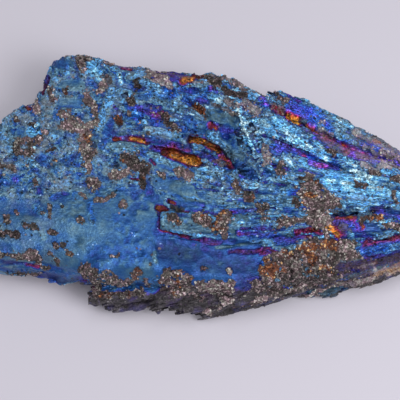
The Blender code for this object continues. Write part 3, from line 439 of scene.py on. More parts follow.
    "periwinkle": (0.6, VIOLET + 0.07, ROYAL + 0.06, 2, (21.2, 8.6), (22.9, 7.8)),
    "gold above the arc": (0.3, GOLD, GOLD, 0.95, (-0.4, 11.4), (1.6, 11.1)),
    "azure lift": (0.65, AZURE - 0.05, ROYAL + 0.04, 1.5, (-13.2, 16.4), (-10.8, 15.9)),
    "left of the lath": (0.8, ROYAL + 0.04, ROYAL + 0.06, 0.8, (-8.4, -6.2), (-6.6, -7.2)),
    "rear plate shade": (0.7, BLUE, BLUE, 0.9, (-11.6, 19.8), (-10.2, 19.4)),
    "shade by the bud": (0.6, ROYAL + 0.05, BLUE, 0.8, (16.4, -1.9), (18.4, -2.3)),
    "azure by the plume": (0.6, BLUE + 0.04, AZURE, 1.25, (11, 12), (12.6, 11)),
    "steel lift": (0.6, AZURE - 0.03, CYAN, 1.1, (-17.8, 25.4), (-15.8, 25)),
    "royal by the strip": (0.6, ROYAL, ROYAL, 0.65, (4.2, -7.6), (6.4, -7.9)),
    "purple over the grit": (0.7, PURPLE, PURPLE, 0.55, (11.4, -9.9), (13.6, -10.2)),
    "purple over the grit two": (0.5, PURPLE, MAGENTA, 0.6, (18.4, -6.9), (21, -7)),
    "indigo over the grit": (0.85, ROYAL, VIOLET, 0.7, (14.8, -8.2), (18, -7.6)),
    "indigo under the lath": (0.7, ROYAL, VIOLET + 0.05, 0.75, (-4.4, -7.8), (-1.6, -8.4)),
    "dark seam over the strip": (0.3, PURPLE, ROYAL, 0.5, (8, -5.3), (16, -5.7)),
    "long red groove": (0.5, MAGENTA, RED, 0.65, (18.4, -6.1), (20.1, -5.9), (22, -5.5)),
    "plum seam": (0.5, PURPLE, VIOLET, 0.4, (1.6, -7.6), (4, -8)),
    "lilac by the rim": (0.7, VIOLET + 0.06, ROYAL + 0.04, 2, (23.4, 14.4), (25.2, 13.4)),
    "shade by lath three": (0.6, ROYAL + 0.05, BLUE, 0.8, (8.8, -0.7), (10.2, -1.1)),
    "left mottle": (0.6, BLUE + 0.03, BLUE + 0.03, 0.9, (-27.6, 13), (-26.4, 12.4)),
    "left mottle two": (0.7, ROYAL + 0.06, BLUE, 0.9, (-26.4, 7.2), (-25.2, 6.8)),
}

# Strips of the gritty rock: half a strip's width, the share of its grains that are rusty or gilt, its tone
# from dark to pale, and how thickly loose grains lie on it.
GRIT_MARKS = {
    # The wide end and its rough upper corner
    "hump top": (0.65, 0.3, 0.1, 1, (-23, 27), (-22.4, 24.9)),
    "hump rim": (0.5, 0.3, -0.2, 1, (-22.4, 26.8), (-20.9, 26.9)),
    "hump rim right": (0.4, 0.5, 0, 1, (-18.2, 26.6), (-16.7, 26)),
    "hump pink": (0.7, 0.15, 0.3, 0.6, (-18.1, 22.4), (-19, 20.5)),
    "hump dark": (0.6, 0.2, -0.3, 0.4, (-18.4, 23.6), (-17.3, 22.6)),
    "wide end rim": (0.65, 0.1, 0.2, 1, (-28.3, 21.3), (-27.7, 19)),
    "rim spot": (0.45, 0.5, -0.1, 1, (-25.9, 21.2), (-25.5, 20.6)),
    "hump foot": (0.8, 0.2, 0.1, 0.7, (-21.5, 19.4), (-20.3, 17.9)),
    "hump foot two": (0.5, 0.2, 0, 1, (-19.9, 16.5), (-19.7, 16.1)),
    "cream cluster": (0.75, 0, 0.5, 1, (-31.1, 17.6), (-30.6, 16.9)),
    "fork upper": (0.7, 0.1, 0.25, 0.7, (-26.2, 16.5), (-24.3, 15.4), (-25.8, 13.9)),
    "fork stem": (1.4, 0.15, 0.25, 0.7, (-23.6, 14.3), (-21.9, 12.4), (-21.5, 9.1)),
    "fork tail": (0.85, 0.15, 0.15, 0.8, (-21.5, 9.1), (-21.3, 5.8)),
    "fork right": (0.75, 0.1, 0.25, 0.7, (-22, 13.7), (-19.6, 14.6)),
    "fork ember": (0.4, 0.85, -0.2, 1, (-21.7, 12.4), (-21.1, 11.4)),
    "left patch": (1, 0.35, -0.05, 1, (-34.6, 11.4), (-30.8, 11.2)),
    "left patch foot": (0.85, 0.3, -0.15, 1, (-34.8, 9.5), (-32.3, 8.9)),
    "glint shadow": (0.45, 0.1, -0.5, 1, (-32.2, 14.5), (-31.6, 14.3)),
    "left lower patch": (0.6, 0.2, -0.05, 1, (-38, 6.6), (-35.4, 5.9)),
    "cream specks": (0.5, 0, 0.3, 1, (-29.7, 13.2), (-29.2, 12.9)),
    "red-brown round": (0.75, 1, -0.75, 1, (-15.9, 15.4), (-15.4, 15)),
    "dark round": (0.65, 0.3, -0.3, 1, (-13.3, 18.8), (-12.8, 18.4)),
    "olive pit": (0.6, 0, -0.6, 1, (-12, 22.2), (-11.9, 21.4)),
    "pink fleck": (0.35, 0.3, 0.2, 1, (-13.6, 16.7), (-13.3, 16.5)),
    "crossing tan": (0.95, 0.15, 0.25, 0.7, (-16.5, 4.8), (-13.9, 5.3)),
    "crossing brown": (0.9, 0.6, -0.3, 1, (-14.4, 8), (-12.5, 6.5)),
    "crossing dark": (0.95, 0.35, -0.35, 1, (-12.7, 7.9), (-12.2, 6.1), (-10.3, 6.3)),
    "crossing foot": (0.7, 0.4, -0.5, 1, (-11.4, 5.6), (-11, 3.1), (-10.6, 2.5)),
    "crossing dot": (0.5, 0.3, -0.1, 1, (-7.6, 5.1), (-7.2, 4.8)),
    "face top spot": (1.1, 0.35, 0, 1, (-20.4, 3.4), (-19.9, 2.6)),
    "face mauve": (0.45, 0.2, -0.1, 1, (-31.6, 3.8), (-31.2, 3.2)),
    "left dot": (0.4, 0.5, -0.2, 1, (-35.1, 15.3), (-34.8, 15)),
    "smear": (0.35, 0.1, -0.3, 1, (-29, 9.4), (-27.5, 9.7)),
    "red dot": (0.3, 0.9, -0.2, 1, (-27.6, 7.4), (-27.4, 7.4)),
    # The open face
    "row one": (0.6, 0.3, 0.15, 1, (-22.2, 0.9), (-21.9, 0.6)),
    "row two": (0.5, 0.2, 0.15, 1, (-19.8, 0), (-17.9, 0.2), (-16.5, 0.8)),
    "row three": (0.65, 0.2, 0.15, 1, (-14.6, -0.7), (-14, -1)),
    "mauve one": (0.5, 0.4, 0, 1, (-28.3, -1.3), (-28.5, -3.2)),
    "dark dot": (0.4, 0, -0.5, 1, (-26.3, -1.1), (-26.1, -1.3)),
    "tan dot": (0.35, 0.1, 0.1, 1, (-29.9, -2.5), (-29.7, -2.5)),
    "tan dot two": (0.4, 0.2, 0.1, 1, (-34.7, -2.4), (-34.5, -2.6)),
    "edge brown": (0.6, 0.2, -0.1, 1, (-36.8, -2.9), (-36.6, -4.3)),
    "edge dark": (0.75, 0.2, -0.4, 1, (-38, -6.3), (-35.2, -6.5)),
    "dash one": (0.45, 0.1, -0.35, 1, (-33.2, -4.7), (-33, -4.9)),
    "dash two": (0.45, 0, -0.2, 1, (-31.8, -5), (-31.4, -5.2)),
    "dash three": (0.55, 0.4, -0.1, 1, (-28.2, -6.1), (-27.6, -6.3)),
    "dash four": (0.6, 0.2, -0.15, 1, (-22.9, -3.6), (-22.4, -3.9)),
    "edge rim": (0.5, 0.1, -0.05, 1, (-38, -10.3), (-32.7, -11)),
    "edge knob": (0.85, 0.15, 0.05, 1, (-32.3, -9.9), (-30.8, -11.4)),
    "olive dash": (0.5, 0.1, -0.3, 1, (-27.6, -8.6), (-26, -8.9)),
    "mauve dash": (0.55, 0.5, 0, 1, (-25.2, -9.9), (-24.3, -10.3)),
    "mauve dot": (0.4, 0.4, 0.1, 1, (-28.6, -10.2), (-28.3, -10.5)),
    "low dot": (0.5, 0.1, -0.15, 1, (-27.5, -11.5), (-27.2, -11.8)),
    "low dark": (0.5, 0.6, -0.3, 1, (-30.3, -12.5), (-28.8, -12.8)),
    "front left": (1.05, 0.2, -0.05, 1, (-22, -13.3), (-20.1, -14.4), (-19.8, -17.1)),
    "front left two": (1.15, 0.35, 0.1, 1, (-17.6, -14.2), (-16.7, -15.1)),
    "front orange": (0.8, 0.5, -0.05, 1, (-12.6, -14.2), (-11.6, -13.7)),
    "front row": (0.3, 0.5, 0.1, 1, (-16.9, -10.6), (-15.2, -10.3)),
    "under the face": (0.55, 0.2, 0.1, 0.5, (-15.4, -16), (-13, -15.2)),
    "under the face right": (0.5, 0.1, -0.1, 0.6, (-10.4, -15.4), (-9.6, -16.2)),
    "front rim": (0.75, 0.45, -0.1, 1, (-18.2, -17.9), (-14.8, -18.2), (-11.4, -17.5)),
    "wide end foot": (0.4, 0.3, -0.1, 1, (-37.6, -14.6), (-34.2, -14.1), (-30, -14.1)),
    # The rear rim
    "rear grey rim": (0.4, 0.1, -0.05, 0.2, (-13.3, 25.6), (-11, 25.1), (-9.8, 24.5)),
    "recess cream": (0.35, 0.3, 0.2, 0.7, (-8.8, 22.9), (-6.2, 22.3)),
    "recess edge": (0.35, 0.2, -0.4, 0.1, (-6.8, 24.8), (-3, 24.3), (0.5, 24)),
    "rear grey": (0.4, 0, 0, 0.3, (-1.1, 22.6), (0, 22.5)),
    "rear tan rim": (1, 0.05, 0.35, 0.4, (-9.6, 23.7), (-6.4, 22.3)),
    "rear knob": (1.1, 0.3, -0.35, 1, (1.7, 23.6), (3.4, 22.4)),
    "rear rim": (1, 0.1, 0.05, 0.4, (2.4, 24.4), (4.8, 23.8), (7.8, 22)),
    "rear rim two": (0.6, 0.1, -0.1, 0.4, (8.6, 21.4), (10.9, 20.4), (12.4, 19.7)),
    "rear cream": (0.5, 0.1, 0.35, 0.2, (4.9, 19.2), (7.4, 18)),
    "rear hole": (0.45, 0, -0.7, 1, (4.5, 21.2), (4.7, 21)),
    "rear brown": (0.5, 0.2, -0.5, 0.6, (4.8, 20.3), (8.8, 19.9)),
    "rear brown two": (0.9, 0.2, 0.3, 0.2, (8.8, 18.6), (10.6, 16.8)),
    "upper ember": (0.8, 0.95, -0.2, 0.8, (-0.9, 17.5), (0.6, 16.9)),
    "middle round": (0.95, 0.2, -0.15, 1, (-6.8, 15.8), (-4.6, 13.5)),
    "olive sliver": (0.28, 0.2, -0.3, 0.3, (3, 17.9), (5, 17.2), (7.2, 16)),
    "middle mauve": (0.8, 0.2, 0.25, 0.6, (-3.8, 5.3), (-1.8, 4.5)),
    "hinge streaks": (0.65, 0.1, 0.3, 0.3, (12.4, 9.8), (12.8, 7.4)),
    "hinge brown": (0.75, 0.55, 0, 1, (6.8, 2.8), (7.2, 2.4)),
    "hinge red": (0.85, 0.5, -0.15, 1, (9, 1), (9.6, 0.7)),
    "fan knob": (0.65, 0.1, -0.3, 1, (14, 20.7), (14.5, 20.3)),
    "fan knob two": (0.65, 0.2, 0.1, 1, (15.6, 19.4), (16.2, 19)),
    "fan edge": (
        0.4, 0.1, -0.3, 0.1,
        (24.9, 16.3), (27.6, 15), (30.4, 13.6), (34.2, 11.8), (38, 9.9), (43, 7.8),
    ),
    "fan edge inner": (0.65, 0.05, 0.25, 0, (29.6, 12.4), (34.2, 10.4), (38, 8.9)),
    "pale by the rim": (0.4, 0, 0.5, 0.2, (29.2, 12.6), (29.8, 12.2)),
    "band dust": (0.75, 0, 0.15, 0, (29.8, 8.9), (33.6, 7.4)),
    "fan speckle": (0.4, 0.1, 0.4, 0.2, (22.8, 14.8), (23.4, 14.4)),
    "groove olive": (0.5, 0.1, -0.1, 1, (24.2, 9.5), (25.4, 9)),
    "fan oval": (0.65, 0.3, 0, 1, (32.2, 5.2), (33.6, 4.8)),
    "fan tan": (0.6, 0.2, 0.3, 0.3, (34.4, 9), (38, 8)),
    "fan tan two": (0.6, 0.1, 0.1, 1, (37, 3.9), (38, 3.7)),
    "band foot": (0.5, 0.1, 0.45, 0, (30.8, 6.6), (33.8, 5.9)),
    "mauve by the rim": (0.6, 0.15, 0.35, 0, (22.4, 13.2), (24.6, 12.4)),
    "band dust upper": (0.5, 0.1, 0.3, 0, (31.4, 9.8), (33.4, 8.9)),
    "groove dust": (0.7, 0.2, 0.2, 0, (13.9, 17.5), (15.4, 16.8)),
    "groove brown": (0.5, 0.85, -0.55, 0, (19.5, 15.6), (20, 14.6), (20.4, 14)),
    "groove mauve": (0.7, 0.1, -0.05, 0, (22.4, 12.2), (25.2, 10.6), (28, 9.2)),
    "outer rim dust": (0.55, 0.1, -0.05, 0.1, (28.8, 14.8), (30.4, 13.9), (33.6, 12), (38, 9.7), (44, 6.8)),
    "lilac grit": (0.75, 0, 0.5, 0.2, (34.4, 7.2), (38, 6.3)),
    "fan tan three": (0.6, 0.3, 0.2, 1, (36.8, 1), (37.4, -0.6)),
    "fan dash": (0.5, 0.2, -0.2, 1, (29.8, 3), (31.2, 2.7)),
    # The middle and lower fan
    "dark bud": (1.05, 0.1, -0.15, 1, (15, 6.2), (15.4, 5)),
    "mauve fleck": (0.6, 0.3, 0.15, 1, (19.9, 5.1), (21.5, 4.7)),
    "big upper head": (1.2, 0.5, -0.1, 1, (20, 3.6), (21.6, 2.7)),
    "big upper": (2.2, 0.42, 0.12, 1, (20.6, 1), (22.4, -0.2), (22.2, -2.2)),
    "big upper gold line": (0.4, 0.9, 0, 1, (20, 1.2), (23, 0.7)),
    "big upper arm": (1.2, 0.2, 0.05, 1, (22.9, 0), (25.6, -0.8)),
    "big upper foot": (0.9, 0.05, 0.35, 1, (20.5, -3.6), (24.3, -3.8)),
    "brown oval": (0.75, 0.3, -0.25, 1, (18.1, -0.3), (18.3, -1)),
    "round bud": (1.1, 0.1, 0.1, 1, (12, -1.8), (12.4, -2.5)),
    "round bud middle": (0.5, 0, -0.6, 1, (12, -2), (12.3, -2.4)),
    "pink bud": (1, 0.4, 0.1, 1, (15.2, -3.9), (16.4, -4.4)),
    "grey strip": (0.5, 0.1, 0.15, 1, (17.3, -3.9), (19.8, -3.9)),
    "lath one": (0.85, 0.35, -0.1, 1, (-5.2, -3.2), (-4.1, -4.2)),
    "lath two": (1.3, 0.5, 0.05, 1, (0, -3.2), (1.2, -4)),
    "lath three": (1.3, 0.6, 0.02, 1, (5, -3.3), (3.8, -3.8), (4.3, -5.3)),
    "pocket cream": (0.8, 0.1, 0.2, 1, (23.6, -5.8), (24.2, -6.8)),
    "pocket cream top": (0.6, 0.1, 0.45, 1, (22.2, -4.9), (24, -4.2)),
    "crack rim": (0.65, 0.8, -0.1, 1, (30.8, -4), (33.4, -2.9), (34.2, -3.3)),
    "right tan": (0.85, 0.1, 0.15, 1, (35.3, -4.9), (38, -5.4)),
    "big lower": (2.3, 0.5, 0.02, 1, (13.4, -13.2), (16.4, -12), (20, -10.6), (23.8, -9.8), (27.4, -9.7)),
    "big lower base": (1.3, 0.45, -0.2, 1, (15.6, -14.2), (20, -13.4), (25.4, -12.2)),
    "big lower gold": (1.1, 0.9, 0.1, 1, (20, -8.8), (25.6, -8.4)),
    "big lower pink": (0.8, 0.85, -0.15, 1, (20.6, -10), (21.2, -11.6)),
    "big lower gold bead": (0.45, 1, 0.3, 1, (22.8, -12.3), (24.6, -12.6)),
    "big lower left gold": (1.1, 0.95, 0.1, 1, (11.9, -12.9), (15.6, -13.6)),
    "big lower foot gold": (0.6, 1, 0.25, 1, (16.4, -15), (18.2, -15.2)),
    "big lower grey": (1.2, 0.05, -0.05, 1, (11, -16), (14.5, -16.8)),
    "big lower cream": (1.2, 0.1, 0.2, 1, (27.6, -8.6), (29.4, -10.4)),
    "lower rim": (1.15, 0.2, -0.2, 1, (16, -15.2), (20.9, -15.5), (27.6, -13.8)),
    "lower lath dust": (1.1, 0.5, -0.5, 0, (27, -12.6), (32, -12.4), (38, -11.6), (44, -10.4)),
    "arc dust": (0.5, 0.3, -0.2, 0.3, (3, 7.2), (4.6, 6.8)),
    "front grit left": (0.9, 0.4, 0.1, 1, (-3.6, -14), (-2.2, -15.2)),
    "front round": (2.1, 0.35, 0.15, 1, (-5.4, -15.2), (-4.2, -16.2)),
    "round middle": (0.7, 0.75, -0.3, 1, (-4.6, -14.6), (-4, -15.8)),
    "ring": (0.6, 0.5, -0.2, 1, (0.5, -12.9), (0.7, -13)),
    "cream spot": (0.6, 0, 0.5, 1, (5.7, -13.6), (5.9, -13.8)),
    "front cream": (1.25, 0.05, 0.3, 1, (0.6, -16.4), (3.4, -17), (5.6, -16.6)),
    "front lilac": (0.95, 0, 0.45, 1, (3.4, -19.8), (6.1, -18.8)),
    "front white": (0.6, 0, 0.55, 1, (1.2, -21), (1.5, -21.3)),
    "front brown": (0.9, 0.3, -0.15, 1, (-1, -18), (0.3, -18.4)),
    "front pale edge": (0.45, 0, 0.35, 1, (28.5, -17.2), (31.5, -16.6)),
    "grey lath": (0.7, 0.1, 0.3, 0.1, (27.6, -15.8), (33.4, -14.8)),
    "dark under the seam": (0.5, 0.2, -0.35, 0.1, (27, -14.6), (33, -13.6)),
    "pale seam": (0.2, 0, 0.2, 0, (29.5, -13), (33.8, -11.7)),
    "bead row": (0.4, 0, 0.5, 1, (19.4, -18.8), (22.4, -17.4), (25.6, -16.2), (27.2, -15.6)),
    "bead patch": (0.6, 0, 0.4, 1, (10, -19.4), (12.4, -18.2)),
    "bead patch two": (0.4, 0.1, 0.2, 1, (16.6, -17), (19.6, -16.6)),
    "ochre edge": (0.8, 0.75, 0.5, 0, (33.4, -13.6), (38, -12.7), (44, -11.4)),
    "corner black": (0.5, 0.1, -0.9, 0, (-5.4, -1.1), (-3.2, -1.8)),
    "mauve by the pocket": (0.5, 0.1, -0.1, 0, (27, -5.2), (28.6, -5.8)),
    "brown over the big lower": (0.5, 0.5, -0.3, 0.6, (20.8, -7.6), (23, -7.9)),
    "cream in the big lower": (0.7, 0.4, 0.3, 1, (16.8, -12.1), (18.6, -12.5)),
}

# ---- Fixed random fields ----


CELL_PRIMES = np.array((73856093, 19349663, 83492791), dtype=np.uint64)
SEED_PRIME = 2654435761
STIRS = ((15, 2246822519), (13, 3266489917), (16, 1))  # a shift and a factor, each time
WORD = 2**32


def cell_random(cells, seed):
    """A fixed random number from 0 to 1 for each row of three whole numbers. Each use has its own seed."""
    mask = np.uint64(WORD - 1)
    parts = cells.astype(np.int64).astype(np.uint64) * CELL_PRIMES
    mixed = (parts[:, 0] ^ parts[:, 1] ^ parts[:, 2] ^ np.uint64(seed * SEED_PRIME % WORD)) & mask
    for shift, factor in STIRS:
        mixed = (mixed ^ (mixed >> np.uint64(shift))) * np.uint64(factor) & mask
    return mixed.astype(np.float64) / WORD


def soft_noise(points, size, seed):
    """Smooth noise from -1 to 1 whose bumps are about size millimetres across."""
    scaled = points / size
    corner = np.floor(scaled)
    part = scaled - corner
    part = part * part * (3.0 - 2.0 * part)
    total = np.zeros(len(points))
    for dx in (0, 1):
        for dy in (0, 1):
            for dz in (0, 1):
                weight = (
                    (part[:, 0] if dx else 1.0 - part[:, 0])
                    * (part[:, 1] if dy else 1.0 - part[:, 1])
                    * (part[:, 2] if dz else 1.0 - part[:, 2])
                )
                total += weight * cell_random(corner + (dx, dy, dz), seed)
    return 2.0 * total - 1.0


def rough_noise(points, size, seed, layers=4):
    """Noise with layers of ever finer bumps, from about -1 to 1."""
    total, weight, whole = 0.0, 1.0, 0.0
    for layer in range(layers):
        total = total + weight * soft_noise(points, size / 2**layer, seed + 17 * layer)
        whole += weight
        weight *= 0.55
    return total / whole * 1.4


def soft_shift(points, size, seed, axes=3):
    """Smooth noise from -1 to 1 along each of so many axes."""
    return np.column_stack([soft_noise(points, size, seed + k) for k in range(axes)])


def nearest_seed(points, size, seed):
    """The nearest of scattered points, one a cell: how far off it is, the way to it, and its cell."""
    scaled = points / size
    corner = np.floor(scaled)
    best = np.full(len(points), 9.0)
    way = np.zeros_like(points)
    owner = np.zeros_like(points)
    for dx in (-1, 0, 1):
        for dy in (-1, 0, 1):
            for dz in (-1, 0, 1):
                cell = corner + (dx, dy, dz)
                place = cell + np.stack([cell_random(cell, seed + k) for k in range(3)], axis=1)
                offset = scaled - place
                gap = np.linalg.norm(offset, axis=1)
                closer = gap < best
                best = np.where(closer, gap, best)
                way = np.where(closer[:, None], offset, way)
                owner = np.where(closer[:, None], cell, owner)
    return best * size, way * size, owner


def faceted(points, size, seed):
    """Height of broken, tilted crystal facets about size across, and each one's random number."""
    _, way, owner = nearest_seed(points, size, seed)
    tilt = np.column_stack([cell_random(owner, seed + k) for k in (11, 12, 13)]) - 0.5
    level = cell_random(owner, seed + 14) - 0.5
    return 1.5 * (way * tilt).sum(axis=1) + 0.3 * size * level, cell_random(owner, seed + 15)


def ramp(value, low, high):
    """0 below low, 1 above high, smooth between."""
    share = np.clip((value - low) / (high - low), 0.0, 1.0)
    return share * share * (3.0 - 2.0 * share)


def lath_cell(across, height, along, size, seed):
    """Random levels and tilts from -1 to 1 for the lath each point is in, and its place over the lath."""
    width, thickness, length = size
    layer = np.floor(height / thickness)
    flat = np.zeros_like(layer)
    place = across / width + cell_random(np.column_stack([layer, flat, flat]), seed)
    column = np.floor(place)
    start = cell_random(np.column_stack([column, layer, flat]), seed + 1)
    run = np.floor(along / length + start * 7.0)
    cell = np.column_stack([column, layer, run])
    level, tilt = (2.0 * cell_random(cell, seed + k) - 1.0 for k in (2, 3))
    return level, tilt, place - column - 0.5


# ---- Mesh arrays ----


class Surface:
    """A mesh's points, in millimetres, with the sums over neighbours that smoothing needs."""

    def __init__(self, mesh):
        self.mesh = mesh
        count = len(mesh.vertices)
        points = np.empty(count * 3)
        mesh.vertices.foreach_get("co", points)
        self.points = points.reshape(-1, 3) / MM
        edges = np.empty(len(mesh.edges) * 2, dtype=np.int64)
        mesh.edges.foreach_get("vertices", edges)
        self.near, self.far = edges.reshape(-1, 2).T
        self.valence = np.bincount(self.near, minlength=count) + np.bincount(self.far, minlength=count)
        self.valence = np.maximum(self.valence, 1)

    def neighbour_mean(self, values):
        """Each point's neighbours' mean, for a number or a vector a point."""
        if values.ndim == 1:
            total = np.bincount(self.near, values[self.far], len(values))
            total += np.bincount(self.far, values[self.near], len(values))
            return total / self.valence
        return np.stack([self.neighbour_mean(column) for column in values.T], axis=1)

    def smoothed(self, values, rounds, share=0.5):
        for _ in range(rounds):
            values = values * (1.0 - share) + self.neighbour_mean(values) * share
        return values

    def normals(self):
        """Unit normals at the points, as they are now."""
        self.write_points()
        normals = np.empty(len(self.points) * 3, dtype=np.float32)
        self.mesh.vertices.foreach_get("normal", normals)
        return normals.reshape(-1, 3).astype(float)

    def write_points(self):
        self.mesh.vertices.foreach_set("co", (self.points * MM).ravel())
        self.mesh.update()

    def write_attribute(self, name, values):
        kind = "FLOAT" if values.ndim == 1 else "FLOAT_VECTOR"
        attribute = self.mesh.attributes.new(name, kind, "POINT")
        field = "value" if kind == "FLOAT" else "vector"
        attribute.data.foreach_set(field, values.astype(np.float32).ravel())


def unit(vectors):
    return vectors / np.maximum(np.linalg.norm(vectors, axis=1, keepdims=True), 1e-9)


def fan_coordinates(points):
    """Across and along the fan: the angle at its root as a length, and the distance from the root."""
    wobble = 0.014 * soft_noise(points, 9.0, 5) + 0.006 * soft_noise(points, 3.0, 6)
    to_point = points[:, :2] - FAN_ROOT
    angle = np.arctan2(to_point[:, 1], -to_point[:, 0]) + wobble
    return angle * FAN_RADIUS, np.linalg.norm(to_point, axis=1)


def fan_direction(points):
    """The unit direction along the laths at each point, towards the root."""
    flat = FAN_ROOT - points[:, :2]
    return unit(np.column_stack([flat, np.zeros(len(points))]))


def seen_position(points):
    """Where points show to the camera: right and up, in millimetres at the distance that it aims at."""
    relative = points - VIEW_AIM
    depth = VIEW_DISTANCE - relative @ VIEW_BACK
    return np.column_stack([relative[:, 0], relative @ VIEW_UP]) * (VIEW_DISTANCE / depth)[:, None]


def path_distance(spots, path):
    """Distance from each spot to a path of straight runs, and how far along it the nearest point is."""
    lengths = [math.dist(a, b) for a, b in zip(path, path[1:])]
    best = np.full(len(spots), 1e9)
    share = np.zeros(len(spots))
    passed = 0.0
    for a, b, length in zip(path, path[1:], lengths):
        start = np.array(a, dtype=float)
        step = np.array(b) - start
        t = np.clip((spots - start) @ step / (step @ step), 0.0, 1.0)
        gap = np.linalg.norm(spots - start - t[:, None] * step, axis=1)
        closer = gap < best
        best = np.where(closer, gap, best)
        share = np.where(closer, (passed + t * length) / sum(lengths), share)
        passed += length
    return best, share


# ---- The stone's surface ----


def new_object(name, data):
    """An object in the scene, at the origin."""
    made = bpy.data.objects.new(name, data)
    bpy.context.scene.collection.objects.link(made)
    return made


def even_mesh(source, voxel):
    """A copy of the CAD mesh, merged and rebuilt with even faces about one voxel across."""
    bm = bmesh.new()
    bm.from_mesh(source.data)
    bmesh.ops.remove_doubles(bm, verts=bm.verts, dist=MERGE_GAP)
    mesh = bpy.data.meshes.new("even mesh")
    bm.to_mesh(mesh)
    bm.free()
    piece = new_object("kyanite_body", mesh)
    remesh = piece.modifiers.new("even faces", "REMESH")
    remesh.mode = "VOXEL"
    remesh.voxel_size = voxel
    return bake_modifiers(piece)


def bake_modifiers(piece):
    """Replaces the piece's mesh by what its modifiers make of it, and removes them."""
    bpy.context.view_layer.update()
    graph = bpy.context.evaluated_depsgraph_get()
    mesh = bpy.data.meshes.new_from_object(piece.evaluated_get(graph))
    piece.modifiers.clear()
    piece.data = mesh
    return piece


def thin_hidden_faces(piece, kept_share):
    """Merges small faces under the stone and down its sides, where less detail is needed."""
    surface = Surface(piece.data)
    facing = surface.normals() @ VIEW_BACK
    spare = 1.0 - ramp(facing, -0.3, 0.35)
    group = piece.vertex_groups.new(name="spare faces")
    steps = 10
    for step in range(1, steps + 1):
        chosen = np.flatnonzero(np.ceil(spare * steps) == step)
        group.add(chosen.tolist(), step / steps, "REPLACE")
    decimate = piece.modifiers.new("fewer hidden faces", "DECIMATE")
    decimate.ratio = kept_share
    decimate.vertex_group = group.name
    bake_modifiers(piece)
    piece.vertex_groups.clear()


def front_share(points):
    """1 on the broken front, 0 behind it."""
    return ramp(-points[:, 1], *FRONT_DEPTH)


def surface_zones(points, normals):
    """Where the stone is rough, calm, fanned, standing on edge, or underneath, each from 0 to 1.

    Facing is where the camera sees it, turned takes in the steep edges round that, and away is where only
    someone who walks round the stone sees it.
    """
    spots = seen_position(points)
    right, up = spots.T
    towards = normals @ VIEW_BACK
    facing = ramp(towards, 0.0, 0.3)
    bend = 1.2 * soft_noise(points, 5.0, 21)
    face = ramp(bend - up, *FACE_TOP) * (1.0 - ramp(right, *FACE_EDGE))
    terrace = ramp(-up, *TERRACE_TOP) * (1.0 - ramp(right, *TERRACE_END)) * ramp(right, *FACE_EDGE)
    calm = np.maximum(face, terrace) * ramp(points[:, 2], *FACE_HEIGHT) * facing
    facet = np.zeros(len(points))
    for half, *path in FACETS:
        facet = np.maximum(facet, 1.0 - ramp(path_distance(spots, path)[0], 0.75 * half, half))
    calm = np.maximum(calm, 0.8 * facet * facing)
    rough = ramp(up + bend, *ROUGH_FOOT) * (1.0 - ramp(right, *ROUGH_END)) * (1.0 - 0.85 * facet)
    steep = ramp(towards, -0.35, -0.05) * ramp(points[:, 2], *RIM_HEIGHT)
    return {
        "spots": spots,
        "facing": facing,
        "turned": np.maximum(facing, steep),
        "away": np.maximum(ramp(-towards, 0.05, 0.4), ramp(np.abs(right), *OUT_OF_FRAME)),
        "calm": calm,
        "terrace": terrace * facing,
        "rough": np.maximum(rough * facing, 0.35 * (1.0 - facing)),
        "fan": ramp(points[:, 0], *FAN_START) * (1.0 - calm),
        "side": 1.0 - ramp(np.abs(normals[:, 2]), 0.45, 0.8),
        "end": ramp(np.abs(normals[:, 0]), 0.5, 0.8),
        "under": ramp(-normals[:, 2], 0.4, 0.8),
    }


def wear_and_trim(surface):
    """Wears the calm face flat, and moves the stone's edge along its rims."""
    surface.points = surface.smoothed(surface.points, 1)
    calm = surface_zones(surface.points, surface.normals())["calm"]
    worn = surface.smoothed(surface.points, WORN_ROUNDS)
    surface.points += (worn - surface.points) * (0.95 * calm)[:, None]
    spots = seen_position(surface.points)
    for reach, shift, *path in RIMS:
        gap, _ = path_distance(spots, path)
        surface.points += np.array(shift) * (1.0 - ramp(gap, 0.1 * reach, reach))[:, None]


def lath_relief(points, across, along, zones, settings):
    """How far laths, ledges and ridges stand out, in millimetres."""
    fan, side, end, away = (zones[name] for name in ("fan", "side", "end", "away"))
    height = points[:, 2]
    ledge = settings.ledge_height / MM
    coarse, tilt, place = lath_cell(across, height, along, COARSE_LATH, 31)
    step = 0.2 + 0.8 * fan + (0.8 + 1.2 * away) * side + (1.1 + 1.2 * away) * end
    slope = 0.04 + 0.5 * fan + (0.3 + 0.4 * away) * side + 0.3 * end
    crest = 0.5 - 5.0 * place**2
    relief = ledge * step * coarse
    relief += slope * tilt * place
    relief += fan * 0.16 * crest
    fine, tilt, place = lath_cell(across + 0.35 * coarse, height, along, FINE_LATH, 47)
    step = 0.05 + 0.45 * fan + (0.45 + 0.5 * away) * side + (0.6 + 0.5 * away) * end
    relief += ledge * step * fine
    relief += (0.02 + 0.2 * fan + 0.15 * side) * tilt * place
    ridge = soft_noise(np.column_stack([across / 0.42, along / 6.0, height / 1.2]), 1.0, 61)
    relief += settings.ridge_height / MM * ridge * (0.3 + 0.9 * fan + 0.5 * side)
    relief += fan * 0.13 * rough_noise(points, 1.1, 63, 3)
    return relief


def pit_mask(points, rough, fan):
    """1 in the middle of a pit, 0 outside."""
    bent = points + 0.25 * soft_shift(points, 0.7, 81)
    gap, _, owner = nearest_seed(bent, PIT_SPACING, 83)
    chance = cell_random(owner, 87)
    likely = 0.08 + 0.13 * rough + 0.06 * fan
    return (chance < likely) * (1.0 - ramp(gap, 0.1, 0.22 + 0.7 * chance))


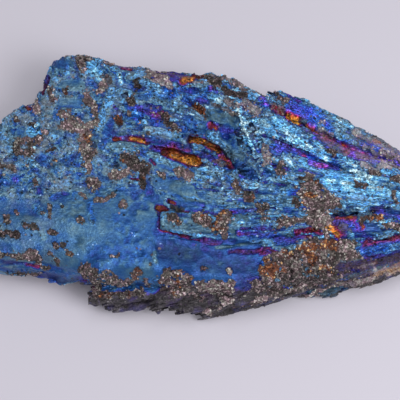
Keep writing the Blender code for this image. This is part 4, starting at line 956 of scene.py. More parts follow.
def shape_surface(surface, settings):
    """Moves the points out and in for broken laths, ledges, facets, pits and grit."""
    wear_and_trim(surface)
    points = surface.points
    normals = unit(surface.smoothed(surface.normals(), 3))
    across, along = fan_coordinates(points)
    height = points[:, 2]
    zones = surface_zones(points, normals)
    fan, side, rough, under, calm = (zones[name] for name in ("fan", "side", "rough", "under", "calm"))
    grit, rust, tone, grains = grit_masks(points, zones)
    level, shade, cover = film_masks(points, zones)
    bare = bare_mask(points, zones) * (1.0 - 0.85 * cover)
    quiet = (1.0 - 0.8 * grit) * (1.0 - 0.75 * under) * (1.0 - 0.85 * calm)

    moved = lath_relief(points, across, along, zones, settings) * quiet
    blocks, block_random = faceted(points + 0.5 * soft_noise(points, 1.1, 67)[:, None], BLOCK_SIZE, 75)
    chips, chip_random = faceted(points + 0.2 * soft_noise(points, 0.6, 69)[:, None], CHIP_SIZE, 95)
    drawn_out = np.column_stack([across, along / 2.8, height])
    moved += rough * (0.12 * blocks + 0.28 * rough_noise(drawn_out, 1.9, 71, 4))
    chipped = 0.3 * rough + 0.25 * fan * quiet + 0.6 * zones["away"] * side
    moved += chipped * 0.20 * chips * (1.0 - under)
    moved += 0.10 * rough_noise(points, 7.0, 73, 2)
    moved += cover * np.clip(shade - 0.95, -0.6, 0.35) * 0.5
    pit = pit_mask(points, rough, fan)
    moved -= settings.pit_depth / MM * pit * (1.0 - under) * (1.0 - grit)
    moved += grit * (0.10 + 0.35 * rough_noise(points, 0.9, 91, 3))
    moved += bare * 0.14 * rough_noise(points, 0.8, 93, 3)
    moved = np.clip(moved, DEEPEST, HIGHEST)
    room = np.maximum(ramp(height, *FOOT_HEIGHT), 1.0 - 0.999 * under)  # none where the stone stands
    moved = np.where(moved < 0, moved, moved * room)
    surface.points = points + normals * moved[:, None]
    keep_inside(surface)
    surface.write_points()
    zones.update(across=across, along=along, grit=grit, rust=rust, tone=tone, grains=grains, bare=bare)
    zones.update(pit=pit * (1.0 - grit), front=bare * front_share(points))
    zones.update(block=block_random, chip=chip_random)
    return zones, (level, shade, cover)


def keep_inside(surface):
    """Holds the points inside the CAD model's box."""
    low, high = (np.array(corner) / MM for corner in CAD_BOX)
    surface.points = np.clip(surface.points, low, high)


def film_masks(points, zones):
    """The film marks laid over one another: their level and shade, and how much of each point they take."""
    wobble = np.column_stack([rough_noise(points, 2.2, 151 + k, 3) for k in range(2)])
    spots = zones["spots"] + 0.3 * wobble
    across, along = fan_coordinates(points)
    streaky = np.column_stack([across / 0.5, along / 2.2, points[:, 2] / 0.9])
    ragged = 0.2 * rough_noise(points, 0.9, 163, 2) + 0.2 * soft_noise(points, 2.0, 167)
    ragged += 0.55 * zones["fan"] * rough_noise(streaky, 1.0, 165, 2)
    level = np.zeros(len(points))
    shade = np.zeros(len(points))
    whole = np.zeros(len(points))
    for half, first, last, stroke_shade, *path in FILM_MARKS.values():
        gap, share = path_distance(spots, path)
        edge = gap / half + ragged * min(1.0, 0.55 + 0.25 / half)
        cover = (1.0 - ramp(edge, *(THIN_EDGE if first < THIN_FILM else THICK_EDGE))) * zones["turned"]
        level += (first + (last - first) * share - level) * cover
        shade += (stroke_shade - shade) * cover
        whole += (1.0 - whole) * cover
    level = level / np.maximum(whole, 1e-3) + 0.07 * rough_noise(points, 0.9, 169, 3)
    return level, shade / np.maximum(whole, 1e-3) * (1.0 + 0.2 * rough_noise(points, 0.7, 173, 2)), whole


def grit_masks(points, zones):
    """How much of each point is grit, how rusty and how pale that is, and how thickly its grains lie."""
    spots, facing = zones["spots"], zones["facing"]
    frayed = 0.6 * rough_noise(points, 1.7, 101, 4) + 0.45 * soft_noise(points, 0.5, 103)
    shifted = spots + 0.4 * soft_shift(points, 1.2, 105, axes=2)
    grit = np.zeros(len(points))
    rust = 0.2 * ramp(rough_noise(points, 4.0, 109, 2), 0.1, 0.7)
    tone = 0.15 * rough_noise(points, 2.4, 111, 2) + 0.15 * zones["rough"] - 0.15 * zones["calm"]
    grains = np.ones(len(points))
    for half, strip_rust, strip_tone, strip_grains, *path in GRIT_MARKS.values():
        gap, _ = path_distance(shifted, path)
        edge = gap / half + frayed * min(1.2, 0.6 + 0.35 / half)
        cover = (1.0 - ramp(edge, 0.8, 1.25)) * facing
        grit = np.maximum(grit, cover)
        rust += (strip_rust - rust) * cover
        tone += (strip_tone - tone) * cover
        grains += (strip_grains - grains) * cover
    rust = ramp(rust + 0.45 * rough_noise(points, 1.4, 119, 3), 0.5, 0.85)
    tone = tone + 0.35 * rough_noise(points, 0.9, 123, 2)
    grit = grit * (1.0 - ramp(rough_noise(points, 0.8, 127, 2), 0.7, 0.95))
    hidden = 1.0 - facing
    drift = rough_noise(points, 5.0, 107, 4)
    grit = np.maximum(grit, hidden * ramp(drift, 0.3, 0.5))
    gap, _, owner = nearest_seed(points, 1.7, 113)
    chance = cell_random(owner, 117)
    likely = (0.06 + 0.16 * zones["rough"] + 0.06 * zones["fan"]) * (1.0 - 0.5 * zones["calm"])
    likely += 0.4 * hidden * front_share(points)
    specks = (chance < likely) * (1.0 - ramp(gap + 0.3 * frayed, 0.1, 0.3 + 1.4 * chance))
    return np.maximum(grit, specks), rust, tone, grains


def bare_mask(points, zones):
    """Where the stone shows dark and uncoated: down the front, low on the sides, and in patches below."""
    height = points[:, 2]
    right, up = zones["spots"].T
    drift = rough_noise(points, 4.0, 121, 4)
    line = np.interp(right, *zip(*FRONT_LINE))
    front = ramp(line - up + 0.8 * drift, -0.5, 0.3) * ramp(-points[:, 1], *BARE_DEPTH)
    front *= ramp(right, *BARE_START)
    hidden = (1.0 - zones["facing"]) * (1.0 - ramp(height + 3.0 * drift, 4.0, 8.0))
    beneath = zones["under"] * ramp(drift, -0.3, 0.2)
    return np.clip(np.maximum.reduce([front, 0.8 * hidden, 0.9 * beneath]), 0.0, 1.0)


def hollows(surface, zones):
    """How deep each point lies in a wide hollow and in a small one, in millimetres, less so on the front."""
    points = surface.points
    normals = surface.normals()
    small = ((surface.smoothed(points, 4) - points) * normals).sum(axis=1)
    wide = ((surface.smoothed(points, 30) - points) * normals).sum(axis=1)
    crease = 1.0 - 0.75 * zones["facing"] * front_share(points)
    return wide * crease, small * crease


def film_level(surface, zones, marks):
    """The film's level and shade, the share of painted glints and sparkle, dust and wear: the film is thin
    in hollows and thick on open faces, and the shade paints shade into hollows, pits and the underside.
    """
    points = surface.points
    wide, small = hollows(surface, zones)
    across, along, height = zones["across"], zones["along"], points[:, 2]
    fan, rough, calm, terrace = (zones[name] for name in ("fan", "rough", "calm", "terrace"))
    right, up = zones["spots"].T
    wide_end = 1.0 - ramp(right, *WIDE_END)
    plates, _, _ = lath_cell(across, height, along, FILM_PLATE, 131)
    streaky = soft_noise(np.column_stack([across / 0.9, along / 5.0, height / 1.5]), 1.0, 137)
    film = 0.75 + 0.012 * streaky + 0.02 * rough_noise(points, 6.0, 139, 3)
    mottled = rough * (0.035 + 0.04 * rough_noise(points, 4.5, 141, 4))
    film += fan * (0.025 + 0.045 * plates + 0.02 * streaky) + mottled
    film += (0.6 * rough + 0.5 * fan) * (0.04 * (zones["block"] - 0.5) + 0.04 * (zones["chip"] - 0.5))
    film -= 0.06 * terrace
    film -= 0.6 * np.clip(wide, 0.0, 0.5) + 0.8 * np.clip(small, 0.0, 0.14)
    film += 0.3 * np.clip(-wide, 0.0, 0.3) + 0.8 * np.clip(-small, 0.0, 0.1)
    film = np.maximum(film, 0.5 + 0.19 * np.maximum(rough, calm))
    hidden = 1.0 - zones["facing"]
    film += hidden * (0.20 * rough_noise(points, 11.0, 149, 3) - 0.10 - 0.08 * zones["under"])
    film -= 0.25 * zones["bare"]

    # Painted shade: darker in wide and small hollows, on a base that is brighter on the rough corner and the
    # fan.
    shade = 0.99 + 0.16 * rough + 0.06 * fan - 0.45 * ramp(wide, 0.12, 0.7) - 0.6 * ramp(small, 0.05, 0.18)
    shade += 0.05 * streaky
    # Painted shade underneath.
    shade *= 1.0 - 0.2 * zones["under"]
    bright_corner = ramp(up, *BRIGHT_CORNER[1]) * (1.0 - ramp(right, *BRIGHT_CORNER[0]))
    shade += 0.15 * bright_corner - 0.06 * calm - 0.04 * terrace
    # Share of painted highlights: glints and sparkle painted into the colour, more on the rough corner, the
    # fan and the crests.
    glitter = 0.02 + 0.25 * rough + 0.5 * fan + 2.0 * (1.0 - calm) * np.clip(-small, 0.0, 0.12)
    wear = 0.16 + 0.69 * rough + 0.25 * fan + 0.1 * wide_end - 0.1 * terrace
    dust = 0.55 * rough + 0.3 * wide_end + 0.3 * fan
    # Greyer and paler over the fan's upper right.
    dust += 0.5 * ramp(right, *GREY_FAN_CORNER[0]) * ramp(up, *GREY_FAN_CORNER[1])

    level, marked_shade, cover = marks
    thin = 1.0 - ramp(level, 0.5, 0.7)
    film += (level - film) * cover
    shade += (marked_shade - shade) * cover
    shade *= 1.0 - 3.0 * (1.0 - ramp(level, 0.3, 0.5)) * cover * (1.0 - cover)
    # Bright strokes and thin gilt films get more painted glints.
    glitter += (np.maximum(0.9 * ramp(marked_shade, 0.85, 1.15), 0.65 * thin) - glitter) * 0.7 * cover
    # Painted shade in the pits.
    shade = shade * (1.0 - 0.7 * zones["pit"])
    return {
        "film": np.clip(film, 0.0, 1.0),
        "shade": np.clip(shade, 0.05, 2.0),
        "glitter": np.clip(glitter, 0.0, 1.0),
        "dust": dust * (1.0 - cover * (0.8 - 0.4 * ramp(right, 18.0, 24.0))),
        "wear": np.clip(wear * (1.0 - 0.4 * cover * (1.0 - thin)) + 0.5 * cover * thin, 0.0, 1.0),
    }

# ---- Materials ----


def from_screen(red, green, blue):
    """A colour's linear values, and 1 for solid, from its screen values above 10 and up to 255."""
    return (*(((value / 255.0 + 0.055) / 1.055) ** 2.4 for value in (red, green, blue)), 1.0)


# Screen colours at places from 0 to 1: up the film's levels, and from dark to pale.
FILM_COLOURS = (
    (BRONZE, (84, 62, 42)),
    (GOLD, (206, 140, 50)),
    (ORANGE, (172, 88, 40)),
    (RED, (146, 46, 54)),
    (MAGENTA, (152, 50, 116)),
    (PURPLE, (104, 54, 156)),
    (VIOLET, (78, 76, 198)),
    (ROYAL, (30, 68, 158)),
    (BLUE, (34, 92, 164)),
    (STEEL, (64, 112, 154)),
    (TEAL, (98, 134, 152)),
    (AZURE, (72, 136, 200)),
    (CYAN, (104, 176, 222)),
    (PALE, (190, 226, 240)),
)
GRIT_COLOURS = (
    (0.0, (31, 27, 29)),
    (0.3, (72, 64, 67)),
    (0.55, (118, 107, 113)),
    (0.8, (160, 150, 156)),
    (1.0, (220, 216, 222)),
)
RUST_COLOURS = (
    (0.0, (48, 22, 18)),
    (0.35, (100, 52, 34)),
    (0.7, (164, 98, 56)),
    (1.0, (248, 208, 150)),
)
BARE_COLOURS = (
    (0.0, (26, 23, 28)),
    (0.45, (62, 58, 63)),
    (0.75, (110, 104, 110)),
    (1.0, (200, 196, 204)),
)
DUST_COLOUR = from_screen(134, 134, 138)
# The colour that painted glints lean towards.
GLINT_COLOUR = from_screen(180, 214, 250)
GRIT_CASTS = from_screen(255, 228, 232), from_screen(238, 244, 226)
SPECK_OFFSET = (0.0173, 0.0091, 0.0057)  # metres that part the specks from the pits
BUMP_DEPTH = 0.00012


class Nodes:
    """Short calls for building one node tree."""

    def __init__(self, tree):
        self.tree = tree
        self.column = 0

    def add(self, kind, inputs=None, **settings):
        node = self.tree.nodes.new(kind)
        node.location = (180 * self.column, -160 * (self.column % 4))
        self.column += 1
        for name, value in settings.items():
            setattr(node, name, value)
        for key, value in (inputs or {}).items():
            self.put(node.inputs[key], value)
        return node

    def put(self, socket, value):
        if isinstance(value, bpy.types.NodeSocket):
            self.tree.links.new(value, socket)
        else:
            socket.default_value = value

    def math(self, operation, first, second=0.0, third=0.0, clamp=False):
        inputs = {0: first, 1: second, 2: third}
        return self.add("ShaderNodeMath", inputs, operation=operation, use_clamp=clamp).outputs[0]

    def plus(self, first, second):
        return self.math("ADD", first, second)

    def minus(self, first, second):
        return self.math("SUBTRACT", first, second)

    def times(self, first, second, clamp=False):
        return self.math("MULTIPLY", first, second, clamp=clamp)

    def times_plus(self, first, second, third, clamp=False):
        return self.math("MULTIPLY_ADD", first, second, third, clamp)

    def between(self, value, low, high, to_low=0.0, to_high=1.0):
        inputs = {"Value": value, "From Min": low, "From Max": high, "To Min": to_low, "To Max": to_high}
        return self.add("ShaderNodeMapRange", inputs).outputs["Result"]

    def vector(self, x=0.0, y=0.0, z=0.0):
        return self.add("ShaderNodeCombineXYZ", {0: x, 1: y, 2: z}).outputs[0]

    def colours(self, value, stops):
        node = self.add("ShaderNodeValToRGB", {"Fac": value})
        elements = node.color_ramp.elements
        while len(elements) < len(stops):
            elements.new(1.0)
        for element, (place, colour) in zip(elements, stops):
            element.position = place
            element.color = from_screen(*colour)
        return node.outputs["Color"]

    def mix(self, share, first, second, blend="MIX"):
        node = self.add("ShaderNodeMix", data_type="RGBA", blend_type=blend)
        for index, value in ((0, share), (6, first), (7, second)):
            self.put(node.inputs[index], value)
        return node.outputs[2]

    def lit(self, colour, light):
        """The colour made lighter or darker by a number that varies over the surface."""
        grey = self.add("ShaderNodeCombineColor", {0: light, 1: light, 2: light}).outputs[0]
        return self.mix(1.0, colour, grey, "MULTIPLY")

    def noise(self, vector, scale, detail=2.0, roughness=0.5):
        inputs = {"Vector": vector, "Scale": scale, "Detail": detail, "Roughness": roughness}
        return self.add("ShaderNodeTexNoise", inputs).outputs["Fac"]

    def attribute(self, name):
        return self.add("ShaderNodeAttribute", attribute_name=name).outputs["Fac"]

    def group(self, tree, inputs):
        node = self.add("ShaderNodeGroup", node_tree=tree)
        for label, value in inputs.items():
            self.put(node.inputs[label], value)
        return node


NUMBER, COLOUR, SHAPE, FINISH = (f"NodeSocket{kind}" for kind in ("Float", "Color", "Geometry", "Material"))


def new_tree(kind, name, inputs, outputs):
    """An empty node tree with named inputs, as (name, socket, default), and outputs, as (name, socket)."""
    tree = bpy.data.node_groups.new(name, kind)
    for label, socket, value in inputs:
        item = tree.interface.new_socket(name=label, in_out="INPUT", socket_type=socket)
        if value is not None:
            item.default_value = value
    for label, socket in outputs:
        tree.interface.new_socket(name=label, in_out="OUTPUT", socket_type=socket)
    nodes = Nodes(tree)
    return tree, nodes, nodes.add("NodeGroupInput").outputs, nodes.add("NodeGroupOutput").inputs


def shader_group(name, outputs, **inputs):
    """An empty group of shader nodes with number inputs, each with its default, and named outputs."""
    sockets = [(label, NUMBER, value) for label, value in inputs.items()]
    return new_tree("ShaderNodeTree", name, sockets, outputs)


def texture_group():
    """The fine patterns that all finishes share: streaks along the fan, mottling, painted glints and
    sparkle, pits, specks.
    """
    if "kyanite texture" in bpy.data.node_groups:
        return bpy.data.node_groups["kyanite texture"]
    names = ("Streaks", "Pool", "Blotch", "Grain", "Spark", "Glint", "Pit", "Speck", "Speck Tint")
    outputs = [(name, NUMBER) for name in names]
    group, nodes, given, made = shader_group(
        "kyanite texture", outputs, Across=0.0, Along=0.0, Glitter=0.3, Wear=0.3
    )
    place = nodes.add("ShaderNodeTexCoord").outputs["Object"]
    height = nodes.add("ShaderNodeSeparateXYZ", {0: place}).outputs[2]

    def fan_place(along, upward):
        """The place in the fan, shrunk along the laths and stretched upward by these factors."""
        return nodes.vector(given["Across"], nodes.times(given["Along"], along), nodes.times(height, upward))

    grain = nodes.noise(place, 2400.0, 3.0, 0.65)
    nodes.put(made["Streaks"], nodes.noise(fan_place(0.12, 500.0), 2.6, 4.0, 0.6))
    nodes.put(made["Pool"], nodes.noise(place, 320.0, 2.0, 0.5))
    nodes.put(made["Blotch"], nodes.noise(place, 900.0, 2.0, 0.55))
    nodes.put(made["Grain"], grain)
    # Noise for painted sparkle: brighter and darker flecks along the laths.
    nodes.put(made["Spark"], nodes.noise(fan_place(0.42, 900.0), 3.9, 2.0, 0.7))

    def dots(vector, scale, share, smallest, largest, frayed=0.35):
        """Ragged dots, one in some of the cells of a scattered grid, and each one's random number."""
        spots = nodes.add("ShaderNodeTexVoronoi", {"Vector": vector, "Scale": scale}, feature="F1")
        chances = nodes.add("ShaderNodeSeparateColor", {0: spots.outputs["Color"]}).outputs
        chosen = nodes.math("LESS_THAN", chances[0], share)
        size = nodes.between(chances[1], 0.0, 1.0, smallest, largest)
        gap = nodes.times_plus(nodes.minus(grain, 0.5), frayed, spots.outputs["Distance"])
        dot = nodes.times(nodes.minus(size, gap), 9.0, clamp=True)
        return nodes.times(chosen, dot), chances[2]

    # Painted glints: bright dots in clusters, as many as the highlight share asks for.
    cluster = nodes.between(nodes.noise(place, 560.0, 1.0), 0.4, 0.62, 0.25, 1.3)
    share = nodes.times(nodes.times(given["Glitter"], cluster), 0.42)
    nodes.put(made["Glint"], dots(fan_place(0.6, 1000.0), 2.9, share, 0.16, 0.42)[0])
    share = nodes.between(given["Wear"], 0.2, 1.0, 0.02, 0.55)
    nodes.put(made["Pit"], dots(place, 1350.0, share, 0.14, 0.42, 0.6)[0])
    moved = nodes.add("ShaderNodeVectorMath", {0: place, 1: SPECK_OFFSET}, operation="ADD").outputs[0]
    share = nodes.between(given["Wear"], 0.0, 1.0, 0.02, 0.14)
    speck, tint = dots(moved, 1450.0, share, 0.1, 0.5, 0.9)
    nodes.put(made["Speck"], speck)
    nodes.put(made["Speck Tint"], tint)
    return group


def film_group():
    """Film level, shade, highlight share and wear to a mottled colour, with painted sparkle, painted glints
    and painted shade in the pits, a roughness and a fine relief's height.
    """
    if "titanium film" in bpy.data.node_groups:
        return bpy.data.node_groups["titanium film"]
    outputs = (("Color", COLOUR), ("Roughness", NUMBER), ("Height", NUMBER))
    group, nodes, given, made = shader_group(
        "titanium film", outputs,
        Film=0.8, Shade=1.0, Across=0.0, Along=0.0, Glitter=0.3, Wear=0.3, Dust=0.0,
    )
    shared = {name: given[name] for name in ("Across", "Along", "Glitter", "Wear")}
    texture = nodes.group(texture_group(), shared).outputs
    wander = 0.0
    for name, weight in (("Streaks", 0.12), ("Pool", 0.34), ("Blotch", 0.26), ("Grain", 0.04)):
        wander = nodes.times_plus(nodes.minus(texture[name], 0.5), weight, wander)
    strength = nodes.between(given["Wear"], 0.0, 1.0, 0.25, 0.95)
    level = nodes.times_plus(wander, strength, given["Film"], clamp=True)
    grain = nodes.between(texture["Grain"], 0.36, 0.64)
    bright = nodes.times_plus(grain, 0.5, nodes.times(texture["Streaks"], 0.8))
    bright = nodes.times_plus(texture["Blotch"], 0.7, bright)
    bright = nodes.times(nodes.minus(bright, 0.98), nodes.between(given["Wear"], 0.1, 0.7, 0.4, 1.7))
    # Painted sparkle: random brighter and darker flecks, as strong as the highlight share.
    spark = nodes.times(nodes.between(texture["Spark"], 0.36, 0.64, -1.0, 1.0), given["Glitter"])
    bright = nodes.times_plus(spark, 1.45, bright)
    light = nodes.times(nodes.math("MAXIMUM", nodes.plus(bright, 1.0), 0.25), given["Shade"])
    # Painted shade in the pits: the colour darkens inside each pit dot.
    light = nodes.times(light, nodes.between(texture["Pit"], 0.0, 1.0, 1.0, 0.14))
    colour = nodes.lit(nodes.colours(level, FILM_COLOURS), light)
    dust = nodes.times_plus(texture["Grain"], 0.5, nodes.times(texture["Pool"], 0.5))
    dust = nodes.times(nodes.between(dust, 0.45, 0.6, 0.0, 0.75), given["Dust"])
    colour = nodes.mix(nodes.times(dust, given["Shade"], clamp=True), colour, DUST_COLOUR)
    # Painted glints: bright dots of a paler, brighter copy of the colour.
    shining = nodes.lit(nodes.mix(0.4, colour, GLINT_COLOUR), 1.75)
    shine = nodes.times(texture["Glint"], nodes.between(given["Shade"], 0.3, 0.9))
    nodes.put(made["Color"], nodes.mix(shine, colour, shining))
    nodes.put(made["Roughness"], nodes.between(texture["Grain"], 0.35, 0.65, 0.52, 0.3))
    ripple = nodes.times(nodes.between(texture["Grain"], 0.35, 0.65), 0.8)
    height = nodes.times_plus(texture["Streaks"], 0.9, ripple)
    height = nodes.times(height, nodes.between(given["Wear"], 0.1, 0.7, 0.4, 1.0))
    nodes.put(made["Height"], nodes.minus(height, texture["Pit"]))
    return group


def grit_group():
    """A grain's random tint, its share of rust and its tone to a colour."""
    if "grit colour" in bpy.data.node_groups:
        return bpy.data.node_groups["grit colour"]
    outputs = (("Color", COLOUR),)
    group, nodes, given, made = shader_group("grit colour", outputs, Tint=0.5, Rusty=0.0, Tone=0.0)
    place = nodes.add("ShaderNodeTexCoord").outputs["Object"]
    cast = nodes.between(nodes.noise(place, 1100.0, 2.0, 0.6), 0.4, 0.6)
    cast = nodes.mix(cast, *GRIT_CASTS)
    tint = nodes.times_plus(given["Tone"], 0.6, given["Tint"], clamp=True)
    plain = nodes.mix(1.0, nodes.colours(tint, GRIT_COLOURS), cast, "MULTIPLY")
    nodes.put(made["Color"], nodes.mix(given["Rusty"], plain, nodes.colours(tint, RUST_COLOURS)))
    return group


def new_material(name):
    material = bpy.data.materials.new(name)
    material.use_nodes = True
    tree = material.node_tree
    tree.nodes.clear()
    nodes = Nodes(tree)
    output = nodes.add("ShaderNodeOutputMaterial")
    shader = nodes.add("ShaderNodeBsdfPrincipled")
    tree.links.new(shader.outputs["BSDF"], output.inputs["Surface"])
    return material, nodes, shader.inputs


def film_nodes(nodes):
    """The titanium film group, fed by the piece's own attributes."""
    labels = ("Film", "Shade", "Across", "Along", "Glitter", "Wear", "Dust")
    return nodes.group(film_group(), {label: nodes.attribute(label.lower()) for label in labels}).outputs


def body_material():
    material, nodes, shader = new_material("kyanite with titanium film")
    film = film_nodes(nodes)
    inputs = {label: nodes.attribute(label.lower()) for label in ("Across", "Along", "Wear")}
    texture = nodes.group(texture_group(), inputs).outputs
    place = nodes.add("ShaderNodeTexCoord").outputs["Object"]
    speckle = nodes.noise(place, 3100.0, 3.0, 0.75)

    tint = nodes.between(texture["Streaks"], 0.3, 0.75, 0.05, 0.7)
    tint = nodes.plus(tint, nodes.between(speckle, 0.3, 0.7, -0.28, 0.42))
    # The bare front takes half of the painted shade.
    light = nodes.between(nodes.attribute("shade"), 0.0, 1.0, 0.5, 1.0)
    bare_colour = nodes.lit(nodes.colours(tint, BARE_COLOURS), light)
    edge = nodes.plus(nodes.attribute("bare"), nodes.between(texture["Blotch"], 0.35, 0.65, -0.3, 0.12))
    bare = nodes.between(edge, 0.35, 0.75)
    thin_film = nodes.between(texture["Pool"], 0.5, 0.68, 0.0, 0.22)
    colour = nodes.mix(bare, film["Color"], nodes.mix(thin_film, bare_colour, film["Color"]))

    grains = nodes.attribute("grains")
    rusty = nodes.times(nodes.attribute("rust"), 0.85)
    tint = nodes.times_plus(nodes.minus(1.0, grains), 0.25, nodes.between(speckle, 0.32, 0.7, 0.0, 0.65))
    inputs = {"Tint": tint, "Rusty": rusty, "Tone": nodes.attribute("tone")}
    grit = nodes.group(grit_group(), inputs).outputs["Color"]
    edge = nodes.plus(nodes.attribute("grit"), nodes.between(speckle, 0.3, 0.7, -0.45, 0.4))
    gritty = nodes.times(nodes.between(edge, 0.38, 0.62), nodes.between(grains, 0.0, 0.6, 0.6, 1.0))
    tint = nodes.between(texture["Speck Tint"], 0.0, 1.0, 0.2, 0.85)
    speck = nodes.group(grit_group(), {"Tint": tint}).outputs["Color"]
    colour = nodes.mix(nodes.times(texture["Speck"], 0.8), colour, speck)
    nodes.put(shader["Base Color"], nodes.mix(gritty, colour, grit))
    plain = nodes.math("MAXIMUM", gritty, nodes.times(bare, 0.8))
    plain = nodes.math("MAXIMUM", plain, nodes.times(texture["Speck"], 0.7))
    nodes.put(shader["Metallic"], nodes.between(plain, 0.0, 1.0, FILM_METAL, 0.0))
    nodes.put(shader["Roughness"], nodes.times_plus(plain, 0.25, film["Roughness"], clamp=True))
    height = nodes.times_plus(nodes.times(plain, speckle), 2.2, film["Height"])
    bump = nodes.add("ShaderNodeBump", {"Height": height, "Strength": 0.9, "Distance": BUMP_DEPTH})
    nodes.put(shader["Normal"], bump.outputs["Normal"])
    return material


def grain_material():
    material, nodes, shader = new_material("grit grains")
    chance = nodes.attribute("chance")
    rusty = nodes.math("LESS_THAN", chance, nodes.times(nodes.attribute("rust"), 0.8))
    inputs = {"Tint": nodes.attribute("tint"), "Rusty": rusty, "Tone": nodes.attribute("tone")}
    grit = nodes.group(grit_group(), inputs).outputs["Color"]
    film = film_nodes(nodes)
    inside = nodes.times_plus(nodes.attribute("grit"), 1.02, nodes.attribute("bare"))
    coated = nodes.math("GREATER_THAN", chance, inside)
    nodes.put(shader["Base Color"], nodes.mix(coated, grit, film["Color"]))
    nodes.put(shader["Metallic"], nodes.between(coated, 0.0, 1.0, 0.0, FILM_METAL))
    shader["Roughness"].default_value = 0.48
    return material


# ---- Scattered grains and blades ----


def scatter_tree(name, **inputs):
    """A Geometry Nodes tree that takes and gives geometry, with number inputs and a material input."""
    sockets = [(label, NUMBER, value) for label, value in inputs.items()]
    sockets = [("Geometry", SHAPE, None), *sockets, ("Finish", FINISH, None)]
    return new_tree("GeometryNodeTree", name, sockets, (("Geometry", SHAPE),))


def named(nodes, name, kind="FLOAT"):
    return nodes.add("GeometryNodeInputNamedAttribute", {"Name": name}, data_type=kind).outputs["Attribute"]


def random_between(nodes, low, high, seed):
    """A random number or, where low and high have three values, a random vector."""
    is_vector = isinstance(low, tuple)
    node = nodes.add("FunctionNodeRandomValue", data_type="FLOAT_VECTOR" if is_vector else "FLOAT")
    first, result = (0, 0) if is_vector else (2, 1)
    nodes.put(node.inputs[first], low)
    nodes.put(node.inputs[first + 1], high)
    node.inputs["Seed"].default_value = seed
    return node.outputs[result]


def store(nodes, geometry, name, value, domain="INSTANCE"):
    inputs = {"Geometry": geometry, "Name": name}
    node = nodes.add("GeometryNodeStoreNamedAttribute", inputs, data_type="FLOAT", domain=domain)
    nodes.put(node.inputs["Value"], value)
    return node.outputs["Geometry"]


def points_on_faces(nodes, given, weight, seed):
    """Points strewn over the surface, as many a square metre as Density says where weight is 1."""
    spread = nodes.add("GeometryNodeDistributePointsOnFaces", distribute_method="RANDOM")
    nodes.put(spread.inputs["Mesh"], given["Geometry"])
    nodes.put(spread.inputs["Density"], nodes.times(weight, given["Density"]))
    spread.inputs["Seed"].default_value = seed
    return spread.outputs


def copies(nodes, spread, shape, rotation, scale):
    """A copy of the shape on every one of the spread points."""
    placed = nodes.add("GeometryNodeInstanceOnPoints", {"Points": spread["Points"]})
    for label, value in (("Instance", shape), ("Rotation", rotation), ("Scale", scale)):
        nodes.put(placed.inputs[label], value)
    return placed.outputs["Instances"]


def finish_tree(nodes, geometry, given, made, copied=()):
    """Makes the instances real, copies attributes from the nearest surface, and sets the material."""
    geometry = nodes.add("GeometryNodeRealizeInstances", {"Geometry": geometry}).outputs["Geometry"]
    for name in copied:
        stone = {"Mesh": given["Geometry"]}
        nearest = nodes.add("GeometryNodeSampleNearestSurface", stone, data_type="FLOAT")
        nodes.put(nearest.inputs["Value"], named(nodes, name))
        geometry = store(nodes, geometry, name, nearest.outputs["Value"], "POINT")
    painted = nodes.add("GeometryNodeSetMaterial", {"Geometry": geometry})
    nodes.put(painted.inputs["Material"], given["Finish"])
    nodes.put(made["Geometry"], painted.outputs["Geometry"])


def grain_tree():
    """Angular grains pressed into the grit, with film-coated crumbs on the rough corner."""
    tree, nodes, given, made = scatter_tree("grit grains", Density=6.0e6, Smallest=0.0002, Largest=0.0006)
    gritty = nodes.between(named(nodes, "grit"), 0.35, 0.8)
    gritty = nodes.times(gritty, nodes.between(named(nodes, "shown"), 0.0, 1.0, 0.3, 1.0))
    gritty = nodes.times(gritty, named(nodes, "grains"))
    weight = nodes.math("MAXIMUM", gritty, nodes.times(named(nodes, "crumbs"), 0.15))
    spread = points_on_faces(nodes, given, weight, 3)
    grain = nodes.add("GeometryNodeMeshCube", {"Size": (0.8, 0.8, 0.8)})
    crooked = nodes.add("GeometryNodeSetPosition", {"Geometry": grain.outputs["Mesh"]})
    nodes.put(crooked.inputs["Offset"], random_between(nodes, (-0.2,) * 3, (0.2,) * 3, 4))
    size = nodes.math("POWER", random_between(nodes, 0.0, 1.0, 6), 1.7)
    size = nodes.between(size, 0.0, 1.0, given["Smallest"], given["Largest"])
    squash = random_between(nodes, (0.7, 0.7, 0.6), (1.25, 1.25, 1.1), 7)
    scale = nodes.add("ShaderNodeVectorMath", {0: squash, "Scale": size}, operation="SCALE")
    turn = random_between(nodes, (0.0,) * 3, (math.tau,) * 3, 5)
    geometry = copies(nodes, spread, crooked.outputs["Geometry"], turn, scale.outputs["Vector"])
    geometry = store(nodes, geometry, "tint", random_between(nodes, 0.05, 0.95, 8))
    geometry = store(nodes, geometry, "chance", random_between(nodes, 0.0, 1.0, 9))
    finish_tree(nodes, geometry, given, made)
    return tree


